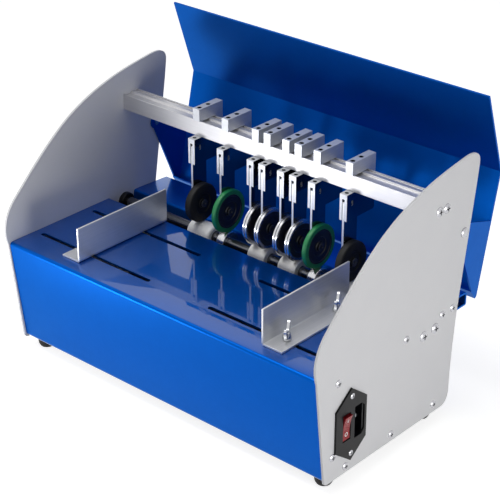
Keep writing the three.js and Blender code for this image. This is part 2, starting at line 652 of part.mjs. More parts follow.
// Carrier: a block cut to a C round the bar, with a fork for the arm below it
function carrierSolid(x) {
  const armTop = BAR_TOP + GAP + CARRIER_ARM_HEIGHT;
  const outline = new THREE.Shape();
  outline.moveTo(FORK_FACE, FORK_BOTTOM);
  outline.lineTo(CARRIER_REAR - FORK_BOTTOM_ROUND, FORK_BOTTOM);
  outline.lineTo(CARRIER_REAR, FORK_BOTTOM + FORK_BOTTOM_ROUND);
  outline.lineTo(CARRIER_REAR, armTop);
  outline.lineTo(BAR_FRONT - CARRIER_ARM_FRONT, armTop);
  outline.lineTo(BAR_FRONT - CARRIER_ARM_FRONT, BAR_TOP + GAP);
  outline.lineTo(BAR_REAR + GAP, BAR_TOP + GAP);
  outline.lineTo(BAR_REAR + GAP, FORK_TOP);
  outline.lineTo(FORK_FACE, FORK_TOP);
  const half = CARRIER_WIDTH / 2;
  const body = alongX(outline, x - half, x + half);
  const slotHalf = half - SLOT_CHEEK;
  const armSlot = block(
    x - slotHalf, x + slotHalf, FORK_FACE - OVERRUN, FORK_FACE + SLOT_DEPTH,
    FORK_BOTTOM - OVERRUN, FORK_BOTTOM + SLOT_HEIGHT);
  const screws = [0, 1].map((i) => rodZ(
    armTop - SET_SCREW_DEPTH, armTop + OVERRUN, SET_SCREW_RADIUS,
    x, BAR_FRONT - CARRIER_ARM_FRONT + SET_SCREW_FRONT + i * SET_SCREW_PITCH, SMALL_STEPS));
  const springScrew = rodZ(
    FORK_BOTTOM + SLOT_HEIGHT - OVERRUN, FORK_TOP + OVERRUN, SET_SCREW_RADIUS,
    x, FORK_FACE + SET_SCREW_FRONT, SMALL_STEPS);
  return cut(body, armSlot, ...screws, springScrew, pinSlot(x));
}

// Upright slot across both cheeks of the fork, which limits the arm's travel
function pinSlot(x) {
  const [y, z] = pinPlace();
  const outline = new THREE.Shape();
  outline.absarc(y, z + ARM_TRAVEL, PIN_SLOT_RADIUS, 0, Math.PI, false);
  outline.absarc(y, z, PIN_SLOT_RADIUS, Math.PI, 2 * Math.PI, false);
  return alongX(outline, x - CARRIER_WIDTH, x + CARRIER_WIDTH);
}

function pinPlace() {
  const y = FORK_FACE + SET_SCREW_FRONT + ARM_PIN_BEHIND_SCREW;
  return [y, FORK_TOP - ARM_PIN_BELOW_FORK_TOP - ARM_TRAVEL];
}

function hubHeight(kind) {
  const ridge = kind === 'steel' ? CREASE_RIDGE : 0;
  return NIP_HEIGHT + WHEEL_GAP + WHEEL_RADII[kind] + ridge;
}

// Arm: a plate that slides in the fork, with its guide pin and the wheel's axle
function armSolid(x, kind) {
  const hub = hubHeight(kind);
  const front = FORK_FACE + GAP;
  const rear = front + ARM_DEPTH;
  const outline = new THREE.Shape();
  outline.moveTo(front, ARM_TOP);
  outline.lineTo(front, hub);
  outline.absarc(front + ARM_NOSE, hub, ARM_NOSE, Math.PI, armNoseTurnShare * 2 * Math.PI, false);
  outline.lineTo(rear, hub + ARM_NOSE);
  outline.lineTo(rear, ARM_TOP);
  const half = ARM_THICKNESS / 2;
  const plate = alongX(outline, x - half, x + half);
  const [pinY, pinZ] = pinPlace();
  const pinHalf = CARRIER_WIDTH / 2 - GAP;
  const pin = rodX(x - pinHalf, x + pinHalf, ARM_PIN_RADIUS, pinY, pinZ, SMALL_STEPS);
  const axleEnd = x + half + WHEEL_GAP + WHEEL_WIDTHS[kind] + WHEEL_GAP;
  const axle = rodX(x, axleEnd + AXLE_HEAD / 2, AXLE_RADIUS, SHAFT_Y, hub, SMALL_STEPS * 2);
  const head = rodX(axleEnd, axleEnd + AXLE_HEAD, AXLE_HEAD_RADIUS, SHAFT_Y, hub, SMALL_STEPS * 2);
  return join(plate, pin, axle, head);
}

// Wheel profiles, as [distance from the arm, radius] pairs
function wheelProfile(kind) {
  const width = WHEEL_WIDTHS[kind];
  const bore = AXLE_RADIUS + WHEEL_GAP;
  const face = width - WHEEL_RECESS;
  const recess = [[width, RECESS_RADIUS], [face, RECESS_RADIUS - WHEEL_RECESS], [face, bore], [0, bore]];
  if (kind === 'green') {
    return [[0, bore], [0, GREEN_HUB_RADIUS], [width, GREEN_HUB_RADIUS], ...recess];
  }
  if (kind === 'rubber') {
    const shoulder = RUBBER_RADIUS - WHEEL_RECESS;
    return [
      [0, bore], [0, shoulder], [WHEEL_RECESS, RUBBER_RADIUS], [face, RUBBER_RADIUS],
      [width, shoulder], ...recess,
    ];
  }
  const middle = width / 2;
  const ridge = CREASE_RIDGE_WIDTH / 2;
  return [
    [0, bore], [0, STEEL_RADIUS], [middle - ridge, STEEL_RADIUS],
    [middle - ridge / 2, STEEL_RADIUS + CREASE_RIDGE], [middle + ridge / 2, STEEL_RADIUS + CREASE_RIDGE],
    [middle + ridge, STEEL_RADIUS], [width, STEEL_RADIUS], ...recess,
  ];
}

function addStations() {
  const finishes = { green: finish.hub, steel: finish.steel, rubber: finish.rubber };
  STATIONS.forEach(({ on, kind }, i) => {
    const number = i + 1;
    const x = on.x + stationShares[i] * on.width;
    const wheelX = x + ARM_THICKNESS / 2 + WHEEL_GAP;
    const hub = hubHeight(kind);
    place(`carrier_${number}`, carrierSolid(x), finish.aluminium);
    place(`arm_${number}`, armSolid(x, kind), finish.steel);
    place(`wheel_${number}`, turnedX(wheelProfile(kind), wheelX, SHAFT_Y, hub), finishes[kind]);
    if (kind === 'green') {
      const tyre = ring(THIN_WHEEL, GREEN_HUB_RADIUS + GAP, GREEN_RADIUS);
      place(`tyre_${number}`, turnedX(tyre, wheelX, SHAFT_Y, hub), finish.green);
    }
  });
}

// Lid: one bent sheet with an ear at each end that turns on a pivot screw
function addLid() {
  const half = SHEET / 2;
  const side = INSIDE_LEFT + RUN;
  const line = [
    [LID_FOOT_Y - LID_LIP, LID_FOOT_Z - half],
    [LID_FOOT_Y, LID_FOOT_Z],
    [LID_PIVOT_Y + LID_FOLD_BEHIND, LID_PIVOT_Z + LID_FOLD_ABOVE],
    [LID_PIVOT_Y + LID_TOP_BEHIND, LID_PIVOT_Z + LID_TOP_ABOVE],
  ];
  const sheet = alongX(bentSheet(line, SHEET, BEND), side, WIDTH - side);
  const boss = (x0) => rodX(x0, x0 + LID_EAR, LID_BOSS_RADIUS, LID_PIVOT_Y, LID_PIVOT_Z, SMALL_STEPS * 2);
  const webBehind = (LID_FOOT_BEHIND + LID_FOLD_BEHIND) / 2 + LID_EAR;
  const webAbove = (LID_FOLD_ABOVE - LID_FOOT_BELOW) / 2 + LID_WEB_SHOULDER;
  const web = outlineOf([
    [LID_PIVOT_Y - LID_BOSS_RADIUS / 2, LID_PIVOT_Z - LID_BOSS_RADIUS + LID_EAR],
    [LID_FOOT_Y - LID_LIP, LID_FOOT_Z],
    [LID_FOOT_Y, LID_FOOT_Z],
    [LID_PIVOT_Y + webBehind, LID_PIVOT_Z + webAbove],
    [LID_PIVOT_Y, LID_PIVOT_Z + LID_BOSS_RADIUS],
  ]);
  const ears = [side, WIDTH - side - LID_EAR].map((x0) => {
    const hole = rodX(
      x0 - OVERRUN, x0 + LID_EAR + OVERRUN, PIVOT_RADIUS + GAP, LID_PIVOT_Y, LID_PIVOT_Z, SMALL_STEPS);
    return cut(join(alongX(web, x0, x0 + LID_EAR), boss(x0)), hole);
  });
  place('lid', join(sheet, ...ears), finish.blue);

  const reach = PANEL_THICKNESS + 2 * GAP + RUN + LID_EAR + GAP;
  const screw = (start, direction) => turnedX([
    [0, 0], [0, PIVOT_HEAD_RADIUS], [direction * PIVOT_HEAD, PIVOT_HEAD_RADIUS],
    [direction * PIVOT_HEAD, PIVOT_RADIUS], [direction * (PIVOT_HEAD + reach), PIVOT_RADIUS],
    [direction * (PIVOT_HEAD + reach), 0],
  ], start, LID_PIVOT_Y, LID_PIVOT_Z, SMALL_STEPS);
  place('lid_pivot_left', screw(-GAP - PIVOT_HEAD, 1), finish.steel);
  place('lid_pivot_right', screw(WIDTH + GAP + PIVOT_HEAD, -1), finish.steel);
}

// Side guides: angle strips that slide along the table's slots
function guideSolid(webX, outward) {
  const half = GUIDE_BEND / 2;
  const seat = TABLE_HEIGHT + GAP + half;
  const outline = bentSheet([
    [webX + outward * GUIDE_FOOT, seat],
    [webX + outward * half, seat],
    [webX + outward * half, TABLE_HEIGHT + GAP + GUIDE_HEIGHT],
  ], GUIDE_BEND, GUIDE_BEND);
  const holes = [SLOT_FRONT_Y, SLOT_REAR_Y].map((y) => rodZ(
    TABLE_HEIGHT, seat + OVERRUN, WING_SCREW_RADIUS + GAP, guideScrewX(webX, outward), y, SMALL_STEPS));
  return cut(alongY(outline, GUIDE_FRONT, GUIDE_REAR), ...holes);
}

const guideScrewX = (webX, outward) => webX + outward * (GUIDE_FOOT + GUIDE_BEND) / 2;

// Wing screw: hub, two wings and the shank through the slot, with its nut below the table
function wingScrew(x, y) {
  const seat = TABLE_HEIGHT + GAP + GUIDE_BEND + GAP;
  const nutTop = TABLE_HEIGHT - SHEET - GAP;
  const nutBottom = nutTop - WING_NUT_HEIGHT;
  const hub = turnedZ([
    [0, 0], [0, WING_HUB_RADIUS], [WING_HUB_HEIGHT / 2, WING_HUB_RADIUS],
    [WING_HUB_HEIGHT, WING_HUB_TOP_RADIUS], [WING_HUB_HEIGHT, 0],
  ], x, y, seat, SMALL_STEPS);
  const shank = rodZ(nutBottom, seat + WING_HUB_HEIGHT / 2, WING_SCREW_RADIUS, x, y, SMALL_STEPS);
  const nut = rodZ(nutBottom, nutTop, WING_NUT_RADIUS, x, y, NUT_STEPS);
  const wings = alongY(wingOutline(), -WING_THICKNESS / 2, WING_THICKNESS / 2);
  const blade = wings.rotate([0, 0, WING_TURN_DEGREES]).translate([x, y, seat]);
  return join(hub, shank, nut, blade);
}

// Both wings as one outline over the hub's seat. Each wing runs through four points, the
// shares of half the span and of the height, from its foot round its tip to its inner edge.
const wingTipShares = [[0.7, 0.3], [1.02, 0.45], [1.02, 1.02], [0.72, 1]];

function wingOutline() {
  const tip = (side) => wingTipShares.map(
    ([u, v]) => [side * u * WING_SPAN / 2, v * WING_HEIGHT]);
  const outline = new THREE.Shape();
  outline.moveTo(-WING_HUB_TOP_RADIUS, WING_FOOT);
  outline.lineTo(WING_HUB_TOP_RADIUS, WING_FOOT);
  const [foot, low, high, inner] = tip(1);
  outline.lineTo(...foot);
  outline.bezierCurveTo(...low, ...high, ...inner);
  outline.lineTo(WING_NOTCH, WING_HUB_HEIGHT);
  outline.lineTo(-WING_NOTCH, WING_HUB_HEIGHT);
  const [innerLeft, highLeft, lowLeft, footLeft] = tip(-1).reverse();
  outline.lineTo(...innerLeft);
  outline.bezierCurveTo(...highLeft, ...lowLeft, ...footLeft);
  return outline;
}

function addGuides() {
  const sides = [['left', GUIDE_LEFT_INSET, -1], ['right', WIDTH - GUIDE_RIGHT_INSET, 1]];
  for (const [side, webX, outward] of sides) {
    place(`guide_${side}`, guideSolid(webX, outward), finish.aluminium);
    const screwX = guideScrewX(webX, outward);
    place(`wing_screw_${side}_front`, wingScrew(screwX, SLOT_FRONT_Y), finish.chrome);
    place(`wing_screw_${side}_rear`, wingScrew(screwX, SLOT_REAR_Y), finish.chrome);
  }
}

// Power inlet with its three blades, and the rocker switch beside it
function addInlet() {
  const face = WIDTH + GAP + INLET_PLATE;
  const plate = alongX(outlineOf([
    [INLET_Y - INLET_WIDTH / 2, INLET_Z - INLET_SIDE / 2],
    [INLET_Y, INLET_Z - INLET_TALL / 2],
    [INLET_Y + INLET_WIDTH / 2, INLET_Z - INLET_SIDE / 2],
    [INLET_Y + INLET_WIDTH / 2, INLET_Z + INLET_SIDE / 2],
    [INLET_Y, INLET_Z + INLET_TALL / 2],
    [INLET_Y - INLET_WIDTH / 2, INLET_Z + INLET_SIDE / 2],
  ]), face - INLET_PLATE, face);
  const body = block(
    face - INLET_PLATE - INLET_BODY_DEPTH, face - INLET_PLATE / 2,
    INLET_Y - INLET_BODY_WIDTH / 2, INLET_Y + INLET_BODY_WIDTH / 2,
    INLET_Z - INLET_BODY_HEIGHT / 2, INLET_Z + INLET_BODY_HEIGHT / 2);
  const socketY = INLET_Y + SOCKET_OFFSET;
  const [w, h, c] = [SOCKET_WIDTH / 2, SOCKET_HEIGHT / 2, SOCKET_CHAMFER];
  const socket = alongX(outlineOf([
    [socketY - w, INLET_Z - h], [socketY + w - c, INLET_Z - h], [socketY + w, INLET_Z - h + c],
    [socketY + w, INLET_Z + h - c], [socketY + w - c, INLET_Z + h], [socketY - w, INLET_Z + h],
  ]), face - SOCKET_DEPTH, face + OVERRUN);
  const rockerY = INLET_Y - ROCKER_OFFSET;
  const rockerHalf = [ROCKER_WIDTH / 2 + RUN, ROCKER_HEIGHT / 2 + ROCKER_CLEARANCE];
  const well = block(
    face - ROCKER_DEPTH - 2 * ROCKER_CLEARANCE, face + OVERRUN,
    rockerY - rockerHalf[0], rockerY + rockerHalf[0], INLET_Z - rockerHalf[1], INLET_Z + rockerHalf[1]);
  const blades = [[0, -1], [BLADE_STEP, 0], [0, 1]].map(([y, z]) => block(
    face - SOCKET_DEPTH - OVERRUN, face - SOCKET_DEPTH + BLADE_LENGTH,
    socketY + y - BLADE_THICKNESS / 2, socketY + y + BLADE_THICKNESS / 2,
    INLET_Z + z * BLADE_PITCH / 2 - BLADE_WIDTH / 2, INLET_Z + z * BLADE_PITCH / 2 + BLADE_WIDTH / 2));
  place('power_inlet', join(cut(join(plate, body), socket, well), ...blades), finish.black);

  const tilt = THREE.MathUtils.degToRad(ROCKER_TILT_DEGREES);
  const [top, foot] = [ROCKER_HEIGHT / 2, ROCKER_FOOT_HEIGHT / 2];
  const side = new THREE.Shape();
  side.moveTo(-ROCKER_DEPTH, -foot);
  side.lineTo(ROCKER_PROUD, -top);
  side.quadraticCurveTo(ROCKER_PROUD - 2 * top * Math.sin(tilt), 0, ROCKER_PROUD, top);
  side.lineTo(-ROCKER_DEPTH, foot);
  const geometry = extruded(side, ROCKER_WIDTH).rotateX(Math.PI / 2).translate(0, ROCKER_WIDTH / 2, 0);
  geometry.rotateY(tilt).translate(face, rockerY, INLET_Z);
  place('switch_rocker', solidOf(geometry), finish.red);
}

addPanels();
addCovers();
addFeet();
addBar();
addShaft();
addDrive();
addStations();
addLid();
addGuides();
addInlet();

// Origin on the floor, under the middle of the whole machine
const reachBox = new THREE.Box3().setFromObject(machine);
const middle = reachBox.getCenter(new THREE.Vector3());
machine.position.set(-middle.x, -middle.y, -reachBox.min.z);

export default machine;
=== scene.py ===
"""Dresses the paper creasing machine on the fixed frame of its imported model.

Lengths are in millimetres of the machine's own frame, until Datum turns them into the
row frame's metres.
"""

import logging
import math
from dataclasses import dataclass, field, replace
from enum import Enum
from typing import Mapping, Sequence

import bmesh
import bpy
from mathutils import Matrix, Vector

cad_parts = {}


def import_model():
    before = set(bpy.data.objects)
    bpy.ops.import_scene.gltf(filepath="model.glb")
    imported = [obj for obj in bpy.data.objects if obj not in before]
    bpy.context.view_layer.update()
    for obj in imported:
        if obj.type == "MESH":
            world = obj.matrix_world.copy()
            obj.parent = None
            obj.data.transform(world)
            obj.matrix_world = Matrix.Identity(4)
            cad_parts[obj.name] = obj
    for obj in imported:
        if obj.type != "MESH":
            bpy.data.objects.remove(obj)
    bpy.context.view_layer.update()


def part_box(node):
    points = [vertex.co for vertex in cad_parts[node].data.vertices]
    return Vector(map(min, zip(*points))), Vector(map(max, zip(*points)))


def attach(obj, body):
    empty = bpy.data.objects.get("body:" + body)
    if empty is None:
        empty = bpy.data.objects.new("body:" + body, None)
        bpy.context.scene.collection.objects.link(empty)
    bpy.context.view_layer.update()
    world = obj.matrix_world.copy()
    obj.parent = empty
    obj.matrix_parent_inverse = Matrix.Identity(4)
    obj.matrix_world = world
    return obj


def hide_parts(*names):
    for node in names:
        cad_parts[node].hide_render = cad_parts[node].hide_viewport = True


LOG = logging.getLogger("creasing_machine")
MM = 0.001

# The photograph's frame and the camera's sensor, in pixels and millimetres.
PHOTO_PIXELS = 500
SENSOR_WIDTH = 36.0

# At which angles meshes are smooth or flat, how near points are one, and how squarely
# a face has to look along an axis to count as facing it.
SMOOTH_DEGREES = 32.0
FLAT_DEGREES = 1.0
WELD_METRES = 2e-6
WELD_MILLIMETRES = 1e-4
SQUARE_ON = 0.9

# Sizes of the machine that more than one sub-assembly uses.
MACHINE_WIDTH = 400.0
BAR_FRONT = 166.5
SHAFT_Y = 163.5
SHAFT_Z = 104.0

Pair = tuple[float, float]
Triple = tuple[float, float, float]
Colour = Triple
Outline = Sequence[Pair]
Spot = tuple[Vector, Triple, float]


def paint(red: int, green: int, blue: int) -> Colour:
    """Turns a colour as it looks on screen into the shader's linear values.

    Args:
        red: Red, 0 to 255.
        green: Green, 0 to 255.
        blue: Blue, 0 to 255.

    Returns:
        The linear colour.
    """

    def linear(value: int) -> float:
        """One channel, taken off the screen's standard curve."""
        share = value / 255
        return share / 12.92 if share <= 0.04045 else ((share + 0.055) / 1.055) ** 2.4

    return linear(red), linear(green), linear(blue)


class Axis(Enum):
    """Which way a turned or extruded piece runs."""

    X = "x"
    Y = "y"
    Z = "z"

    def place(self, along: float, u: float, v: float) -> Triple:
        """Puts a length along the axis and two across it into x, y, z order.

        Args:
            along: Distance along the axis.
            u: First distance across it.
            v: Second distance across it.

        Returns:
            The point.
        """
        if self is Axis.X:
            return along, u, v
        if self is Axis.Y:
            return u, along, v
        return u, v, along


class Facing(Enum):
    """Which way a small piece that is made to point up is turned, in radians."""

    UP = (0.0, 0.0, 0.0)
    RIGHT = (0.0, math.pi / 2, 0.0)
    LEFT = (0.0, -math.pi / 2, 0.0)


@dataclass(frozen=True)
class Datum:
    """The machine's own zero point in the row frame, in metres."""

    x: float
    y: float
    z: float

    @classmethod
    def from_frame(cls, bar_front: float) -> "Datum":
        """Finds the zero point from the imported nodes.

        Args:
            bar_front: Where the clamp bar's front lies in the machine's own frame.

        Returns:
            The datum.
        """
        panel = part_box("side_panel_left")[0]
        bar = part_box("clamp_bar")[0]
        return cls(panel.x, bar.y - bar_front * MM, panel.z)

    def at(self, x: float, y: float, z: float) -> Vector:
        """A point of the machine in the row frame, in metres."""
        return Vector((self.x + x * MM, self.y + y * MM, self.z + z * MM))

    def matrix(self) -> Matrix:
        """The move and scale from the machine's millimetres to the row frame."""
        return Matrix.Translation((self.x, self.y, self.z)) @ Matrix.Scale(MM, 4)


class NodeSheet:
    """A node tree with short ways to add and join nodes."""

    def __init__(self, tree: bpy.types.NodeTree) -> None:
        """Wraps the tree."""
        self.tree = tree

    def join(self, source: bpy.types.NodeSocket, target: bpy.types.NodeSocket) -> None:
        """Links an output to an input."""
        self.tree.links.new(source, target)

    def feed(self, value: object, target: bpy.types.NodeSocket) -> None:
        """Links an input to a socket, or sets it to a plain value.

        Args:
            value: A socket or a plain value.
            target: The input.
        """
        if isinstance(value, bpy.types.NodeSocket):
            self.join(value, target)
        else:
            target.default_value = value

    def add(
        self, kind: str, inputs: Mapping[str, object] | None = None, **settings: object
    ) -> bpy.types.Node:
        """Adds a node, sets its options and feeds its inputs.

        Args:
            kind: The node's type.
            inputs: A socket or a plain value for each named input.
            settings: Values for the node's own properties.

        Returns:
            The node.
        """
        node = self.tree.nodes.new(kind)
        for key, value in settings.items():
            setattr(node, key, value)
        for title, value in (inputs or {}).items():
            self.feed(value, node.inputs[title])
        return node

    def math(self, operation: str, *values: object) -> bpy.types.NodeSocket:
        """Adds a Math node.

        Args:
            operation: Its operation.
            values: What it works on, each a socket or a number.

        Returns:
            Its output.
        """
        node = self.add("ShaderNodeMath", operation=operation)
        for slot, value in zip(node.inputs, values):
            self.feed(value, slot)
        return node.outputs[0]

    def mask(
        self, group: bpy.types.NodeTree, inputs: Mapping[str, object]
    ) -> bpy.types.NodeSocket:
        """Places a shared group that puts out a mask.

        Args:
            group: The shared group.
            inputs: A socket or a plain value for each of its inputs.

        Returns:
            The mask's socket.
        """
        return self.add("ShaderNodeGroup", inputs, node_tree=group).outputs["Mask"]

    def mix(
        self, share: bpy.types.NodeSocket, first: object, second: object
    ) -> bpy.types.NodeSocket:
        """Mixes two colours.

        Args:
            share: How much of the second.
            first: A colour or a socket.
            second: A colour or a socket.

        Returns:
            The mixed colour's socket.
        """
        node = self.add("ShaderNodeMix", {"Factor": share}, data_type="RGBA")
        first_colour, second_colour, mixed = node.inputs[6], node.inputs[7], node.outputs[2]
        for slot, value in ((first_colour, first), (second_colour, second)):
            is_socket = isinstance(value, bpy.types.NodeSocket)
            self.feed(value if is_socket else (*value, 1.0), slot)
        return mixed


class EffectShelf:
    """The shader node groups that several finishes share, each made once."""

    def __init__(self) -> None:
        """Builds every group."""
        self.streaks = self._noise_group("Fine streaks", detail=3.0, roughness=0.65)
        self.mottle = self._noise_group("Soft mottle", detail=2.0, roughness=0.5)
        self.rings = self._ring_group(detail=2.0)
        # Painted highlight: a mask of the outer edges, which the finishes paint lighter.
        self.wear = self._wear_group(edges=(0.52, 0.62), fineness=220.0)

    @staticmethod
    def _start(
        name: str, inputs: Mapping[str, float | Triple]
    ) -> tuple[NodeSheet, bpy.types.Node, bpy.types.Node]:
        """Starts a group that makes one mask from its named inputs.

        Args:
            name: The group's name.
            inputs: Each input's default, which is a number or three for a vector.

        Returns:
            The sheet, the group's input node and its output node.
        """
        tree = bpy.data.node_groups.new(name, "ShaderNodeTree")
        for title, default in inputs.items():
            kind = "NodeSocketVector" if isinstance(default, tuple) else "NodeSocketFloat"
            made = tree.interface.new_socket(title, in_out="INPUT", socket_type=kind)
            made.default_value = default
        tree.interface.new_socket("Mask", in_out="OUTPUT", socket_type="NodeSocketFloat")
        sheet = NodeSheet(tree)
        return sheet, sheet.add("NodeGroupInput"), sheet.add("NodeGroupOutput")

    def _noise_group(
        self, name: str, detail: float, roughness: float, contrast: Pair = (0.3, 0.7)
    ) -> bpy.types.NodeTree:
        """A noise that can be stretched along any axis.

        Args:
            name: The group's name.
            detail: Octaves of the noise.
            roughness: How strong its finer octaves are.
            contrast: Which values of the noise become nought and one.

        Returns:
            The group.
        """
        sheet, entry, leave = self._start(
            name, {"Vector": (0.0, 0.0, 0.0), "Stretch": (100.0, 100.0, 100.0)}
        )
        scaled = sheet.add("ShaderNodeVectorMath", operation="MULTIPLY")
        sheet.join(entry.outputs["Vector"], scaled.inputs[0])
        sheet.join(entry.outputs["Stretch"], scaled.inputs[1])
        noise = sheet.add(
            "ShaderNodeTexNoise",
            {"Vector": scaled.outputs[0], "Scale": 1.0, "Detail": detail, "Roughness": roughness},
        )
        low, high = contrast
        stronger = sheet.add(
            "ShaderNodeMapRange", {"Value": noise.outputs[0], "From Min": low, "From Max": high}
        )
        sheet.join(stronger.outputs[0], leave.inputs["Mask"])
        return sheet.tree

    def _ring_group(self, detail: float) -> bpy.types.NodeTree:
        """Fine rings round the X axis, as a lathe leaves them.

        Args:
            detail: Octaves of the rings.

        Returns:
            The group.
        """
        sheet, entry, leave = self._start(
            "Turning rings", {"Vector": (0.0, 0.0, 0.0), "Fineness": 2500.0}
        )
        parts = sheet.add("ShaderNodeSeparateXYZ", {"Vector": entry.outputs["Vector"]})
        across = sheet.math("MULTIPLY", parts.outputs["Y"], parts.outputs["Y"])
        upward = sheet.math("MULTIPLY", parts.outputs["Z"], parts.outputs["Z"])
        radius = sheet.math("SQRT", sheet.math("ADD", across, upward))
        both = sheet.math("ADD", radius, parts.outputs["X"])
        place = sheet.math("MULTIPLY", both, entry.outputs["Fineness"])
        noise = sheet.add(
            "ShaderNodeTexNoise",
            {"W": place, "Scale": 1.0, "Detail": detail},
            noise_dimensions="1D",
        )
        sheet.join(noise.outputs[0], leave.inputs["Mask"])
        return sheet.tree

    def _wear_group(self, edges: Pair, fineness: float) -> bpy.types.NodeTree:
        """Marks the outer edges, where a lighter colour is painted on as an edge highlight.

        Args:
            edges: Where on the pointiness scale the painted edge highlight sets in and is full.
            fineness: Scale of the noise that breaks it up.

        Returns:
            The group.
        """
        sheet, entry, leave = self._start(
            "Edge wear", {"Vector": (0.0, 0.0, 0.0), "Amount": 0.5}
        )
        pointiness = sheet.add("ShaderNodeNewGeometry").outputs["Pointiness"]
        edge = sheet.add(
            "ShaderNodeMapRange", {"Value": pointiness, "From Min": edges[0], "From Max": edges[1]}
        )
        noise = sheet.add(
            "ShaderNodeTexNoise", {"Vector": entry.outputs["Vector"], "Scale": fineness}
        )
        broken = sheet.math("MULTIPLY", edge.outputs[0], noise.outputs[0])
        mask = sheet.math("MULTIPLY", broken, entry.outputs["Amount"])
        sheet.join(mask, leave.inputs["Mask"])
        return sheet.tree


# What all finishes have in common: how pattern and mottle share the colour, how light the
# painted edge highlight is, how the gloss coat sets in, and how fine the knurls are.
GRAIN_SHARE = 0.6
MOTTLE_STRETCH = (38.0, 38.0, 38.0)
EDGE_HIGHLIGHT_LIFT = 0.35
GLAZE_RISE = 0.07
GLAZE_ROUGHNESS = 0.03
GLAZE_IOR = 1.6
KNURLS_ALONG = 5200.0
KNURLS_ROUND = 60.0


class Pattern(Enum):
    """What breaks up the surface of a finish."""

    GRAINED = "grained"
    TURNED = "turned"
    KNURLED = "knurled"


